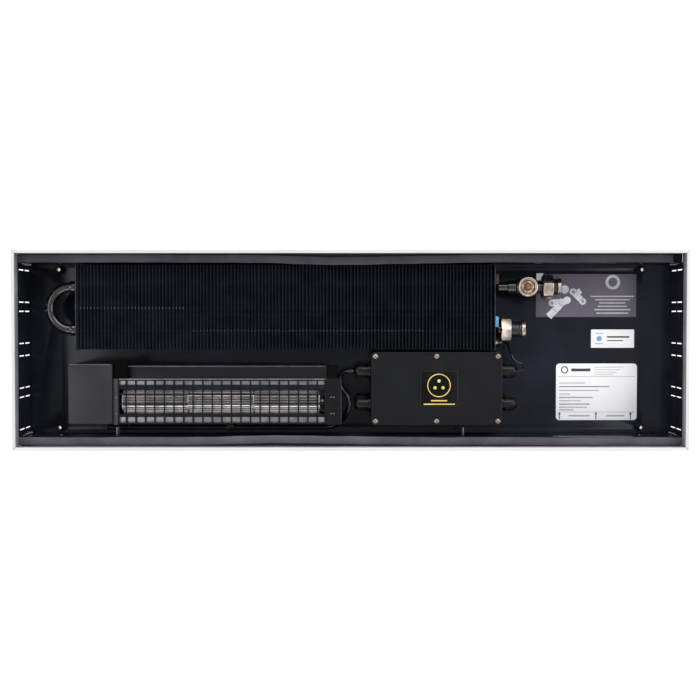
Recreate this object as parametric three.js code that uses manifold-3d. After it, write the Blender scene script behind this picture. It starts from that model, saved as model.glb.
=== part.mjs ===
// Trench convector heater with its grille lifted out: a folded steel trough let into the floor, a white
// frame, a finned water heat exchanger along the rear wall, a cross-flow fan along the front wall and an
// electrical box. Millimetres. X runs along the trough, Y from the fan to the heat exchanger, Z up.
// The origin is under its middle.

import * as THREE from "three";
import { mergeVertices } from "three/addons/utils/BufferGeometryUtils.js";
import Module from "manifold-3d";

const wasm = await Module();
wasm.setup();

// Whole heater
const LENGTH = 808;
const WIDTH = 240;
const HEIGHT = 75;
const GAP = 0.3; // left between pieces that touch

// Casing of folded sheet
const SHEET = 1;
const LEDGE_DEPTH = 18; // from the top of the frame down to the ledge for the grille
const LEDGE_INSET = 15; // from the outer face of the frame to the inside of a long wall
const END_WALL_INSET = 4.6; // from the outer face of the frame to the inside of an end wall
const RAIL_WEB = 4.3;
const RAIL_WALL = 1;
const RAIL_DEPTH = 15;
const MITRE_GAP = 0.2;
const STRIP_THICKNESS = 2.7;
const STRIP_WIDTH = 9.5;

// Knock-out panels of the end walls
const KNOCKOUT_FROM_WALL = 8.15;
const KNOCKOUT_GAP = 11.1; // between two panels of a pair
const KNOCKOUT_MIDDLE_GAP = 15.1; // between the two pairs
const KNOCKOUT_LOW = 5.4; // above the floor sheet
const KNOCKOUT_HEIGHT = 48.2;
const SLOT_WIDTH = 1.4;
const SLOT_BRIDGE = 3.4;
const SLOT_CORNER = 3.5;

// Levelling nuts in the floor
const LEVELLING_NUT_RADIUS = 4.8;
const LEVELLING_BORE_RADIUS = 2.5;
const LEVELLING_NUT_HEIGHT = 8;
const LEVELLING_FROM_END = 41;
const LEVELLING_FROM_WALL = 6.5;

// Heat exchanger
const EXCHANGER_FROM_LEFT = 72;
const EXCHANGER_FROM_RIGHT = 229;
const EXCHANGER_FROM_WALL = 2;
const FAN_BAY_DEPTH = 105; // from the front wall to the front of the heat exchanger
const FIN_FROM_FLOOR = 6;
const FIN_BELOW_LEDGE = 4;
const FIN_PITCH = 8.26;
const FIN_THICKNESS = 0.4;
const FIN_COLLAR_WALL = 0.8;
const TUBE_RADIUS = 6;
const INLET_FROM_EDGE = 26.7; // from the rear edge of the fins to the inlet's leg
const RETURN_FROM_EDGE = 24.3; // from their front edge to the other leg
const TUBE_HEIGHT = 29; // axis above the floor sheet
const TUBE_CLEARANCE = 0.3;
const BEND_RUN = 9.2; // straight tube between the left plate and the bend
const PLATE_SHEET = 1;
const PLATE_FOOT = 12;
const EARTH_TAB_LENGTH = 12;
const EARTH_TAB_WIDTH = 12;
const EARTH_TAB_INSET = 2;
const PLATE_ABOVE_FINS = 1;

// Pipe fittings
const MARKER_LENGTH = 5.6; // along the tube
const MARKER_RADIUS = 8.5;
const MARKER_FLAG = 16;
const MARKER_FLAG_HEIGHT = 15;
const TEE_FROM_PLATE = 17;
const TEE_SOCKET_RADIUS = 8;
const TEE_SOCKET_LENGTH = 11;
const TEE_BARREL_RADIUS = 10;
const TEE_BARREL_LENGTH = 25;
const TEE_NECK_RADIUS = 7.5;
const TEE_NECK_LENGTH = 6.4;
const VENT_RADIUS = 12.3;
const VENT_HEIGHT = 16; // from the tube's axis to the top of the vent
const VENT_RECESS = 5;
const VENT_RECESS_RADIUS = 9;
const VENT_EDGE = 0.8;
const VENT_STEM = 2.5; // by which the stem under the collar is narrower
const VENT_FLOOR = 3; // of the recess, down to the underside of the collar's slope
const VENT_SCREW_RADIUS = 3.2;
const VENT_SCREW_HEIGHT = 4.2;
const VENT_SLOT_WIDTH = 1;
const VENT_SLOT_DEPTH = 1.2;
const NUT_ACROSS_FLATS = 27;
const NUT_LENGTH = 12.6;
const NUT_BEVEL = 1;
const INLET_NUT_TURN = 0.23; // radians from a flat on top
const RETURN_NUT_TURN = Math.PI / 6;
const TAIL_RADIUS = 10;
const TAIL_BORE_RADIUS = 7;
const TAIL_GROOVE_RADIUS = 9.3;
const TAIL_GROOVE_LENGTH = 5;
const TAIL_RING_RADIUS = 11;
const TAIL_RING_LENGTH = 4.8;
const RETURN_NUT_FROM_PLATE = 8.6;
const SLEEVE_RADIUS = 8;
const SLEEVE_LENGTH = 10;
const RETURN_RING_LENGTH = 7.5;

// Cross-flow fan
const FAN_FROM_LEFT = 122;
const FAN_TO_BOX = 54.7;
const FAN_AXIS_FROM_WALL = 42;
const FAN_AXIS_HEIGHT = 27; // above the floor sheet
const FAN_SHEET = 1;
const IMPELLER_RADIUS = 18;
const IMPELLER_SEGMENTS = 3;
const IMPELLER_FROM_LEFT = 4.7;
const IMPELLER_FROM_RIGHT = 8.3;
const IMPELLER_DISC = 1.6;
const BLADE_COUNT = 18;
const BLADE_DEPTH = 3.2;
const BLADE_THICKNESS = 1;
const BLADE_ANGLE = 0.45;
const BLADE_INSET = 0.6; // from the rim of a disc
const SHAFT_RADIUS = 2.5;
const SHAFT_CLEARANCE = 0.3;
const SHAFT_HOLE = 4; // in the fan's left plate
const SCROLL_HALF_WIDTH = 26;
const SCROLL_DROP = 24.5;
const SCROLL_STEPS = 8;
const OUTLET_REACH = 42; // from the axis to the mouth of the outlet
const OUTLET_RISE = 2;
const FLANGE_HEIGHT = 20.5; // from the axis to the top of the housing
const FLANGE_WIDTH = 8.4;
const ROOF_HEIGHT = 17;
const TONGUE_BEHIND = 2.6; // running gap behind the impeller
const TONGUE_DROP = 16.5;
const TONGUE_LIP = 2; // turned in over the impeller
const PLATE_TOP = 22;
const LEFT_FLANGE = 4.7;
const RIGHT_FLANGE = 17.5;
const RIGHT_LIP = 4;
const FAN_FOOT = 12;
const GUARD_THICKNESS = 2;
const GUARD_RIM = 1.3;
const GUARD_WIRE = 2;
const GUARD_PITCH = 11.6;
const GUARD_FIRST_WIRE = 9.6;
const GUARD_BARS = [
  { offset: 17.75, width: 5.5 },
  { offset: 7.7, width: 1.2 },
  { offset: -3.9, width: 1.2 },
  { offset: -16.45, width: 2.9 },
];
const BUSH_RADIUS = 7;
const BUSH_SPIGOT = 4.6;
const BUSH_LENGTH = 3;
const SHAFT_END = 1.5; // of the idler shaft beyond its bush

// Fan motor and its cover
const MOTOR_RADIUS = 19;
const MOTOR_LENGTH = 43;
const MOTOR_FLANGE = 40;
const MOTOR_FLANGE_THICKNESS = 3;
const MOTOR_SHAFT_DEPTH = 18;
const COVER_LENGTH = 53.3;
const COVER_FRONT = 27.2;
const COVER_REAR = 45.7;
const COVER_TOP = 54; // above the floor sheet
const COVER_WALL = 1.5;
const COVER_CORNER = 2.5;
const COVER_BEVEL = 1.2;
const PORTAL_CLEARANCE = 2;
const DAMPER_LENGTH = 17.5;
const DAMPER_DEPTH = 21.3;
const DAMPER_HEIGHT = 6;
const DAMPER_CORNER = 2;
const DAMPER_BEVEL = 0.8;

// Electrical box
const BOX_FROM_RIGHT = 220;
const BOX_LENGTH = 159;
const BOX_FROM_WALL = 13;
const BOX_DEPTH = 89.3;
const BOX_HEIGHT = 44.4;
const BOX_WALL = 2.5;
const BOX_CORNER = 5;
const LID_THICKNESS = 4;
const LID_BEVEL = 0.7;
const BOSS_RADIUS = 4.2;
const SCREW_INSET = 5.2;
const SCREW_HEAD_RADIUS = 3.8;
const SCREW_HEAD_HEIGHT = 2;
const SCREW_SHANK_RADIUS = 1.5;
const SCREW_DEPTH = 12;
const SCREW_CLEARANCE = 0.4;
const SCREW_SEAT = 0.1;
const RIB_HEIGHT = 4;
const RIB_WIDTH = 3;
const BOARD_LENGTH = 118;
const BOARD_DEPTH = 62;
const BOARD_THICKNESS = 1.6;
const TRANSFORMER = { fromBoardEnd: 8, length: 36, depth: 30, height: 24 };
const TERMINAL_BLOCK = { fromBoardEnd: 92, length: 14, depth: 56, height: 15 };
const GLAND_HEIGHT = 25.7; // axis above the box's underside
const GLAND_OFFSETS = [20.8, -19.7]; // from the middle of the box's depth
const GLAND_THREAD_RADIUS = 7.7;
const GLAND_FLANGE_RADIUS = 9.75;
const GLAND_CAP_RADIUS = 9.2;
const GLAND_END_RADIUS = 4;
const GLAND_LENGTH = 21.3;
const GLAND_FLANGE = 3.5;
const GLAND_GROOVE = 1.5;
const GLAND_NOSE = 5; // of the cap, which narrows to its end
const GLAND_INSIDE = 2; // of the thread inside the box

// Leads, by the points that they pass. Each stretch is counted from what carries it.
const FAN_LEAD_RADIUS = 2.5;
const FAN_LEAD_FROM_COVER = [
  [-18, 14.3, 3.3],
  [-18, 11.8, 3.2],
  [-16.2, 8.4, 3],
  [-11.6, 6.7, 2.8],
  [-2, 6.5, 2.8],
];
const FAN_LEAD_TO_BOX = [
  [-175, 6.5, 2.8],
  [-69, 6.5, 2.8],
  [-57, 6.7, 3.1],
  [-47, 8.4, 6.2],
  [-39.5, 12.6, 12.7],
  [-33.5, 19, 21.2],
  [-28.6, 27.2, 28.5],
  [-26.4, 37, 31.5],
];
const FAN_LEAD_TO_GLAND = [
  [-6.8, -31.8, 4],
  [-12.4, -23.8, -1.4],
  [-17, -15.8, -6],
  [-16.4, -7.4, -6.4],
  [-11.8, -2, -3.2],
  [-5.4, -0.2, -0.2],
  [0, 0, 0],
];
const EARTH_LEAD_RADIUS = 1.4;
const LEAD_STEPS = 2; // from one point to the next
const EARTH_LEAD_FROM_GLAND = [
  [0, 0, 0],
  [4.6, 0.6, 0.4],
  [7.4, 4.2, 2.6],
  [5, 8.8, 6.4],
  [-0.8, 10.6, 8.4],
  [-5.6, 14.4, 7.6],
];
const EARTH_LEAD_TO_LUG = [
  [8, -14, 26.7],
  [6.6, -8.6, 19.1],
  [6.2, -3.6, 10.1],
  [5.6, -0.6, 3.1],
  [3.6, 0, 0.5],
  [0, 0, 0],
];
const EARTH_SCREW_RADIUS = 3.6;
const EARTH_SCREW_HEIGHT = 2.4;
const EARTH_LUG_RADIUS = 1.7;
const EARTH_LUG_LENGTH = 4;
const EARTH_LUG_REACH = 8; // from the screw to the end of the lug's barrel
const CLIP_LENGTH = 9;
const CLIP_WIDTH = 9;
const CLIP_HEIGHT = 6.6;
const CLIP_FROM_BOX = 175;

// Labels
const LABEL_SEAT = 0.1;
const LABEL_THICKNESS = 0.3;
const LABEL_CORNER = 4;
const CONNECTION_LABEL = { fromEnd: 47, fromWall: 11.7, length: 125.3, depth: 53.7 };
const SMALL_LABEL = { fromEnd: 49.2, fromWall: 81, length: 54, depth: 22.9 };
const RATING_LABEL = { fromEnd: 45.4, fromWall: 123.6, length: 101.3, depth: 70.9 };
const LID_LABEL_LENGTH = 47.6;
const LID_LABEL_DEPTH = 44.9;
const LID_LABEL_SHIFT = 2.9; // from the middle of the lid towards the right

// Places worked out from the sizes above
const LEFT = -LENGTH / 2;
const RIGHT = LENGTH / 2;
const FLOOR = SHEET + GAP;
const WALL_Y = WIDTH / 2 - LEDGE_INSET;
const LEDGE_TOP = HEIGHT - LEDGE_DEPTH;
const END_WALL_X = RIGHT - END_WALL_INSET;
const LIP_Y = WIDTH / 2 - RAIL_WEB / 2 - SHEET / 2;
const LIP_X = RIGHT - RAIL_WEB / 2 - SHEET / 2;
const LIP_TOP = HEIGHT - RAIL_WALL - GAP;

const EXCHANGER_X0 = LEFT + EXCHANGER_FROM_LEFT;
const EXCHANGER_X1 = RIGHT - EXCHANGER_FROM_RIGHT;
const EXCHANGER_Y0 = -WALL_Y + FAN_BAY_DEPTH;
const EXCHANGER_Y1 = WALL_Y - EXCHANGER_FROM_WALL;
const FIN_Z0 = SHEET + FIN_FROM_FLOOR;
const FIN_Z1 = LEDGE_TOP - FIN_BELOW_LEDGE;
const TUBE_Z = SHEET + TUBE_HEIGHT;
const INLET_Y = EXCHANGER_Y1 - INLET_FROM_EDGE;
const RETURN_Y = EXCHANGER_Y0 + RETURN_FROM_EDGE;
const TEE_X = EXCHANGER_X1 + TEE_FROM_PLATE;
const VENT_X = TEE_X + TEE_SOCKET_LENGTH + TEE_BARREL_LENGTH / 2;
const INLET_NUT_X = TEE_X + TEE_SOCKET_LENGTH + TEE_BARREL_LENGTH + TEE_NECK_LENGTH + GAP;
const RETURN_NUT_X = EXCHANGER_X1 + RETURN_NUT_FROM_PLATE;

const BOX_X1 = RIGHT - BOX_FROM_RIGHT;
const BOX_X0 = BOX_X1 - BOX_LENGTH;
const BOX_Y0 = -WALL_Y + BOX_FROM_WALL;
const BOX_Y = BOX_Y0 + BOX_DEPTH / 2;
const BOX_TOP = FLOOR + BOX_HEIGHT;
const LID_TOP = BOX_TOP + GAP + LID_THICKNESS;
const BOARD_Z = FLOOR + BOX_WALL + RIB_HEIGHT + GAP;
const GLAND_Z = FLOOR + GLAND_HEIGHT;

const FAN_X0 = LEFT + FAN_FROM_LEFT;
const FAN_X1 = BOX_X0 - FAN_TO_BOX;
const FAN_Y = -WALL_Y + FAN_AXIS_FROM_WALL;
const FAN_Z = SHEET + FAN_AXIS_HEIGHT;
const FAN_BASE = FLOOR - FAN_Z; // underside of the fan's plates, measured from its axis
const IMPELLER_X0 = FAN_X0 + IMPELLER_FROM_LEFT;
const IMPELLER_X1 = FAN_X1 - IMPELLER_FROM_RIGHT;
const COVER_X1 = FAN_X0 - FAN_SHEET - LEFT_FLANGE - GAP;
const COVER_X0 = COVER_X1 - COVER_LENGTH;

// Materials
const paint = (color, roughness, metalness = 0) =>
  new THREE.MeshStandardMaterial({ color, roughness, metalness });
const blackPaint = paint(0x1c1d21, 0.4, 0.2);
const matBlackPaint = paint(0x15161a, 0.6, 0.2);
const whitePaint = paint(0xe9e9e6, 0.4, 0.1);
const zincSheet = paint(0x9a9a9c, 0.35, 0.9);
const nickel = paint(0xc8bdb6, 0.25, 1);
const brass = paint(0xa9855a, 0.3, 1);
const silverBlade = paint(0xc4c6c9, 0.3, 0.9);
const steel = paint(0x8f9094, 0.3, 1);
const foam = paint(0x5c5a62, 0.9);
const rubber = paint(0x141416, 0.8);
const blackPlastic = paint(0x232428, 0.5);
const redPlastic = paint(0x7c2a33, 0.5);
const bluePlastic = paint(0x4aa3cc, 0.5);
const greenBoard = paint(0x1f5a3a, 0.5);
const whiteLabel = paint(0xe6e7ea, 0.5);
const mauveLabel = paint(0x5c5661, 0.5);
const blackLabel = paint(0x141414, 0.5);

// Geometry helpers. A profile along X is drawn as [y, z] pairs, an outline along Z as [x, y] pairs.
const ALONG_X = new THREE.Matrix4().makeBasis(
  new THREE.Vector3(0, 1, 0),
  new THREE.Vector3(0, 0, 1),
  new THREE.Vector3(1, 0, 0),
);
const TURNED_ABOUT_X = new THREE.Matrix4().makeBasis(
  new THREE.Vector3(0, 0, 1),
  new THREE.Vector3(1, 0, 0),
  new THREE.Vector3(0, 1, 0),
);

function outline(points) {
  return points.map(([a, b]) => new THREE.Vector2(a, b));
}

function prismX(points, x0, x1) {
  const options = { depth: x1 - x0, bevelEnabled: false };
  const prism = new THREE.ExtrudeGeometry(new THREE.Shape(outline(points)), options);
  return prism.applyMatrix4(ALONG_X).translate(x0, 0, 0);
}

function prismZ(points, z0, z1) {
  const options = { depth: z1 - z0, bevelEnabled: false };
  const prism = new THREE.ExtrudeGeometry(new THREE.Shape(outline(points)), options);
  return prism.translate(0, 0, z0);
}

function block(x0, x1, y0, y1, z0, z1) {
  const box = new THREE.BoxGeometry(x1 - x0, y1 - y0, z1 - z0);
  return box.translate((x0 + x1) / 2, (y0 + y1) / 2, (z0 + z1) / 2);
}

// A body turned about X from [radius, x] pairs, which start and end on the axis or close on themselves.
function turnedX(points, sides) {
  return new THREE.LatheGeometry(outline(points), sides).applyMatrix4(TURNED_ABOUT_X);
}

function rodX(radius, x0, x1, sides) {
  const points = [
    [0, x0],
    [radius, x0],
    [radius, x1],
    [0, x1],
  ];
  return turnedX(points, sides);
}

function turnedZ(points, sides) {
  return new THREE.LatheGeometry(outline(points), sides).rotateX(Math.PI / 2);
}

function rodZ(radius, z0, z1, sides) {
  const points = [
    [0, z0],
    [radius, z0],
    [radius, z1],
    [0, z1],
  ];
  return turnedZ(points, sides);
}

function ring(inner, outer, from, to) {
  return [
    [inner, from],
    [outer, from],
    [outer, to],
    [inner, to],
    [inner, from],
  ];
}

function roundedOutline(x0, x1, y0, y1, radius, steps = 4) {
  const corners = [
    [x1 - radius, y1 - radius, 0],
    [x0 + radius, y1 - radius, 1],
    [x0 + radius, y0 + radius, 2],
    [x1 - radius, y0 + radius, 3],
  ];
  return corners.flatMap(([x, y, quarter]) =>
    Array.from({ length: steps + 1 }, (_, i) => {
      const angle = ((quarter + i / steps) * Math.PI) / 2;
      return [x + radius * Math.cos(angle), y + radius * Math.sin(angle)];
    }),
  );
}

// A block with round upright corners and a bevel all round its top and bottom.
function roundedBlock(x0, x1, y0, y1, z0, z1, corner, bevel) {
  const points = roundedOutline(x0 + bevel, x1 - bevel, y0 + bevel, y1 - bevel, corner - bevel);
  const options = {
    depth: z1 - z0 - 2 * bevel,
    bevelThickness: bevel,
    bevelSize: bevel,
    bevelSegments: 2,
  };
  const shape = new THREE.Shape(outline(points));
  return new THREE.ExtrudeGeometry(shape, options).translate(0, 0, z0 + bevel);
}

function solid(geometry) {
  const bare = geometry.clone();
  bare.deleteAttribute("normal");
  bare.deleteAttribute("uv");
  const merged = mergeVertices(bare, 1e-4);
  return new wasm.Manifold(
    new wasm.Mesh({
      numProp: 3,
      vertProperties: merged.attributes.position.array,
      triVerts: new Uint32Array(merged.index.array),
    }),
  );
}

function geometryOf(manifold) {
  const mesh = manifold.getMesh();
  const geometry = new THREE.BufferGeometry();
  geometry.setAttribute("position", new THREE.BufferAttribute(mesh.vertProperties, 3));
  geometry.setIndex(new THREE.BufferAttribute(mesh.triVerts, 1));
  geometry.computeVertexNormals();
  return geometry;
}

function joined(...geometries) {
  return geometryOf(geometries.map(solid).reduce((all, next) => all.add(next)));
}

function cut(base, ...tools) {
  return geometryOf(tools.map(solid).reduce((left, tool) => left.subtract(tool), solid(base)));
}

function piece(name, geometry, material, x = 0, y = 0, z = 0) {
  const mesh = new THREE.Mesh(geometry, material);
  mesh.name = name;
  mesh.position.set(x, y, z);
  return mesh;
}

function groupOf(x, y, z, ...pieces) {
  const group = new THREE.Group();
  group.position.set(x, y, z);
  group.add(...pieces);
  return group;
}

// ---------------------------------------------------------------- casing

function trough() {
  const wall = WALL_Y;
  const lip = LIP_Y;
  const right = [
    [wall + SHEET, 0],
    [wall + SHEET, LEDGE_TOP - SHEET],
    [lip + SHEET, LEDGE_TOP - SHEET],
    [lip + SHEET, LIP_TOP],
    [lip, LIP_TOP],
    [lip, LEDGE_TOP],
    [wall, LEDGE_TOP],
    [wall, SHEET],
  ];
  const left = right.map(([y, z]) => [-y, z]).reverse();
  const halfLength = END_WALL_X - GAP;
  const folded = prismX([...right, ...left], -halfLength, halfLength);
  const bore = rodZ(LEVELLING_BORE_RADIUS + GAP, -SHEET, 2 * SHEET, 12);
  return cut(folded, ...levellingPlaces().map(([x, y]) => bore.clone().translate(x, y, 0)));
}

function levellingPlaces() {
  const x = RIGHT - LEVELLING_FROM_END;
  const y = WALL_Y - LEVELLING_FROM_WALL;
  return [
    [-x, y],
    [-x, -y],
    [x, y],
    [x, -y],
  ];
}

function levellingNut() {
  return turnedZ(ring(LEVELLING_BORE_RADIUS, LEVELLING_NUT_RADIUS, 0, LEVELLING_NUT_HEIGHT), 12);
}

// Slots round the knock-out panels: two upright ones with a bridge at each side, one along top and bottom.
function knockoutSlots() {
  const slots = [];
  const slot = (y0, y1, z0, z1) => {
    slots.push(block(END_WALL_X - SHEET, END_WALL_X + 2 * SHEET, y0, y1, z0, z1));
  };
  const low = SHEET + KNOCKOUT_LOW;
  const high = low + KNOCKOUT_HEIGHT;
  const middle = (low + high) / 2;
  const width = (WALL_Y - KNOCKOUT_FROM_WALL - KNOCKOUT_GAP - KNOCKOUT_MIDDLE_GAP / 2) / 2;
  const inner = (KNOCKOUT_MIDDLE_GAP + width) / 2;
  for (const side of [-1, 1]) {
    for (const centre of [inner, inner + width + KNOCKOUT_GAP]) {
      const y0 = side * centre - width / 2;
      const y1 = y0 + width;
      for (const edge of [y0, y1]) {
        slot(edge - SLOT_WIDTH / 2, edge + SLOT_WIDTH / 2, low, middle - SLOT_BRIDGE / 2);
        slot(edge - SLOT_WIDTH / 2, edge + SLOT_WIDTH / 2, middle + SLOT_BRIDGE / 2, high);
      }
      slot(y0 + SLOT_CORNER, y1 - SLOT_CORNER, low, low + SLOT_WIDTH / 2);
      slot(y0 + SLOT_CORNER, y1 - SLOT_CORNER, high - SLOT_WIDTH / 2, high);
    }
  }
  return slots;
}

// An end wall at the right end: a pierced plate whose top is folded out and up into the frame.
function endWall() {
  const wall = WALL_Y + SHEET;
  const lip = LIP_Y + SHEET;
  const shoulder = LEDGE_TOP - SHEET;
  const plateTop = HEIGHT - RAIL_DEPTH - GAP;
  const plate = [
    [-wall, 0],
    [wall, 0],
    [wall, shoulder],
    [lip, shoulder],
    [lip, plateTop],
    [-lip, plateTop],
    [-lip, shoulder],
    [-wall, shoulder],
  ];
  return joined(
    cut(prismX(plate, END_WALL_X, END_WALL_X + SHEET), ...knockoutSlots()),
    block(END_WALL_X, LIP_X + SHEET, -lip, lip, plateTop - SHEET, plateTop),
    block(LIP_X, LIP_X + SHEET, -lip, lip, plateTop - SHEET, LIP_TOP),
  );
}

// A rail of the frame, an upturned channel along X with mitred ends, for the side at y = halfWidth.
function rail(halfLength, halfWidth) {
  const outer = halfWidth;
  const inner = halfWidth - RAIL_WEB;
  const low = HEIGHT - RAIL_DEPTH;
  const points = [
    [inner, low],
    [inner + RAIL_WALL, low],
    [inner + RAIL_WALL, HEIGHT - RAIL_WALL],
    [outer - RAIL_WALL, HEIGHT - RAIL_WALL],
    [outer - RAIL_WALL, low],
    [outer, low],
    [outer, HEIGHT],
    [inner, HEIGHT],
  ];
  const geometry = prismX(points, -1, 1);
  const place = geometry.attributes.position;
  for (let i = 0; i < place.count; i++) {
    const reach = halfLength - (halfWidth - place.getY(i)) - MITRE_GAP;
    place.setX(i, place.getX(i) * reach);
  }
  geometry.computeVertexNormals();
  return geometry;
}

function dampingStrip() {
  const halfLength = RIGHT - RAIL_WEB - GAP;
  const y = WALL_Y + GAP;
  const z = LEDGE_TOP + GAP;
  return block(-halfLength, halfLength, y, y + STRIP_WIDTH, z, z + STRIP_THICKNESS);
}

function casing() {
  const half = Math.PI;
  const quarter = Math.PI / 2;
  const pieces = [
    piece("casing_trough", trough(), blackPaint),
    piece("end_wall_right", endWall(), blackPaint),
    piece("end_wall_left", endWall().rotateZ(half), blackPaint),
    piece("frame_rail_rear", rail(RIGHT, WIDTH / 2), whitePaint),
    piece("frame_rail_front", rail(RIGHT, WIDTH / 2).rotateZ(half), whitePaint),
    piece("frame_rail_left", rail(WIDTH / 2, RIGHT).rotateZ(quarter), whitePaint),
    piece("frame_rail_right", rail(WIDTH / 2, RIGHT).rotateZ(-quarter), whitePaint),
    piece("damping_strip_rear", dampingStrip(), foam),
    piece("damping_strip_front", dampingStrip().rotateZ(half), foam),
  ];
  levellingPlaces().forEach(([x, y], i) => {
    pieces.push(piece(`levelling_nut_${i + 1}`, levellingNut(), steel, x, y, FLOOR));
  });
  return groupOf(0, 0, 0, ...pieces);
}

// -------------------------------------------------------- heat exchanger

// Fins on the square collars round the two legs of the tube, with a bore for each leg.
function finPack() {
  const x0 = EXCHANGER_X0 + PLATE_SHEET + GAP;
  const x1 = EXCHANGER_X1 - PLATE_SHEET - GAP;
  const count = Math.floor((x1 - x0 - FIN_THICKNESS) / FIN_PITCH) + 1;
  const first = (x0 + x1 - (count - 1) * FIN_PITCH - FIN_THICKNESS) / 2;
  const last = first + (count - 1) * FIN_PITCH + FIN_THICKNESS;
  const fins = Array.from({ length: count }, (_, i) => {
    const x = first + i * FIN_PITCH;
    return solid(block(x, x + FIN_THICKNESS, EXCHANGER_Y0, EXCHANGER_Y1, FIN_Z0, FIN_Z1));
  });
  const legs = [INLET_Y, RETURN_Y];
  const half = boreRadius(8) + FIN_COLLAR_WALL;
  const collars = legs.map((y) =>
    solid(block(first, last, y - half, y + half, TUBE_Z - half, TUBE_Z + half)),
  );
  const bores = legs.map((y) =>
    solid(rodX(boreRadius(8), first - 1, last + 1, 8).translate(0, y, TUBE_Z)),
  );
  const pack = wasm.Manifold.union([...fins, ...collars]);
  return geometryOf(pack.subtract(bores[0]).subtract(bores[1]));
}

// The radius of a many-sided bore that clears the round tube by its clearance.
function boreRadius(sides) {
  return (TUBE_RADIUS + TUBE_CLEARANCE) / Math.cos(Math.PI / sides);
}

// An end plate that holds the tube, with a foot turned in under the fins. Its outer face is at x = 0
// and inward is 1 for the left end or -1 for the right end.
function exchangerPlate(inward) {
  const top = FIN_Z1 + PLATE_ABOVE_FINS;
  const reach = (x) => (inward > 0 ? [0, x] : [-x, 0]);
  const plate = joined(
    block(...reach(PLATE_SHEET), EXCHANGER_Y0, EXCHANGER_Y1, FLOOR, top),
    block(...reach(PLATE_FOOT), EXCHANGER_Y0, EXCHANGER_Y1, FLOOR, FLOOR + PLATE_SHEET),
  );
  const bore = rodX(boreRadius(16), -2, 2, 16);
  return cut(
    plate,
    bore.clone().translate(0, INLET_Y, TUBE_Z),
    bore.clone().translate(0, RETURN_Y, TUBE_Z),
  );
}

// The right plate also has a tab for the earth lead, turned out on the floor.
function rightPlate() {
  const foot = exchangerPlate(-1);
  const y = EXCHANGER_Y0 + EARTH_TAB_INSET;
  const z = FLOOR + PLATE_SHEET;
  return joined(foot, block(-PLATE_SHEET, EARTH_TAB_LENGTH, y, y + EARTH_TAB_WIDTH, FLOOR, z));
}

// Two straight legs joined by a half turn, sampled leg, bend, leg.
class HairpinPath extends THREE.Curve {
  constructor(inletEnd, returnEnd, bendSteps) {
    super();
    this.inletEnd = inletEnd;
    this.returnEnd = returnEnd;
    this.bendSteps = bendSteps;
    this.steps = bendSteps + 2;
  }

  getPoint(t, target = new THREE.Vector3()) {
    const step = t * this.steps;
    const bendX = EXCHANGER_X0 - PLATE_SHEET - BEND_RUN;
    const radius = (INLET_Y - RETURN_Y) / 2;
    if (step < 1) return target.set(this.inletEnd + (bendX - this.inletEnd) * step, INLET_Y, TUBE_Z);
    if (step > this.steps - 1) {
      const along = step - this.steps + 1;
      return target.set(bendX + (this.returnEnd - bendX) * along, RETURN_Y, TUBE_Z);
    }
    const angle = ((step - 1) / this.bendSteps) * Math.PI;
    const y = RETURN_Y + radius + radius * Math.cos(angle);
    return target.set(bendX - radius * Math.sin(angle), y, TUBE_Z);
  }

  getTangent(t, target = new THREE.Vector3()) {
    const angle = THREE.MathUtils.clamp((t * this.steps - 1) / this.bendSteps, 0, 1) * Math.PI;
    return target.set(-Math.cos(angle), -Math.sin(angle), 0);
  }

  getPointAt(u, target) {
    return this.getPoint(u, target);
  }

  getTangentAt(u, target) {
    return this.getTangent(u, target);
  }
}

function roundSection(radius, sides) {
  return Array.from({ length: sides }, (_, i) => {
    const angle = (i / sides) * 2 * Math.PI;
    return [radius * Math.cos(angle), radius * Math.sin(angle)];
  });
}

function heatingTube() {
  const path = new HairpinPath(TEE_X - GAP, RETURN_NUT_X - GAP, 14);
  const section = new THREE.Shape(outline(roundSection(TUBE_RADIUS, 12)));
  return new THREE.ExtrudeGeometry(section, { steps: path.steps, extrudePath: path });
}

// A coloured ring on the tube with a flag at its side, for a tube along X through the origin.
function marker() {
  const flag = block(0, MARKER_LENGTH, 0, MARKER_FLAG, -MARKER_FLAG_HEIGHT / 2, MARKER_FLAG_HEIGHT / 2);
  const bore = rodX(boreRadius(12), -1, MARKER_LENGTH + 1, 12);
  return cut(joined(rodX(MARKER_RADIUS, 0, MARKER_LENGTH, 16), flag), bore);
}

// The body of the vent, along X through the origin, from the socket of the tube to the neck of the union.
function ventTee() {
  const barrel0 = TEE_SOCKET_LENGTH;
  const barrel1 = barrel0 + TEE_BARREL_LENGTH;
  const neck1 = barrel1 + TEE_NECK_LENGTH;
  const centre = (barrel0 + barrel1) / 2;
  const profile = [
    [0, 0],
    [TEE_SOCKET_RADIUS, 0],
    [TEE_SOCKET_RADIUS, barrel0],
    [TEE_BARREL_RADIUS, barrel0],
    [TEE_BARREL_RADIUS, barrel1],
    [TEE_NECK_RADIUS, barrel1],
    [TEE_NECK_RADIUS, neck1],
    [0, neck1],
  ];
  const stem = VENT_RADIUS - VENT_STEM;
  const collarZ = VENT_HEIGHT - VENT_RECESS - VENT_FLOOR;
  const vent = [
    [0, -TEE_BARREL_RADIUS / 2],
    [stem, -TEE_BARREL_RADIUS / 2],
    [stem, collarZ],
    [VENT_RADIUS, collarZ + VENT_STEM],
    [VENT_RADIUS, VENT_HEIGHT - VENT_EDGE],
    [VENT_RADIUS - VENT_EDGE, VENT_HEIGHT],
    [VENT_RECESS_RADIUS, VENT_HEIGHT],
    [VENT_RECESS_RADIUS, VENT_HEIGHT - VENT_RECESS],
    [0, VENT_HEIGHT - VENT_RECESS],
  ];
  return joined(turnedX(profile, 16), turnedZ(vent, 16).translate(centre, 0, 0));
}

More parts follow.
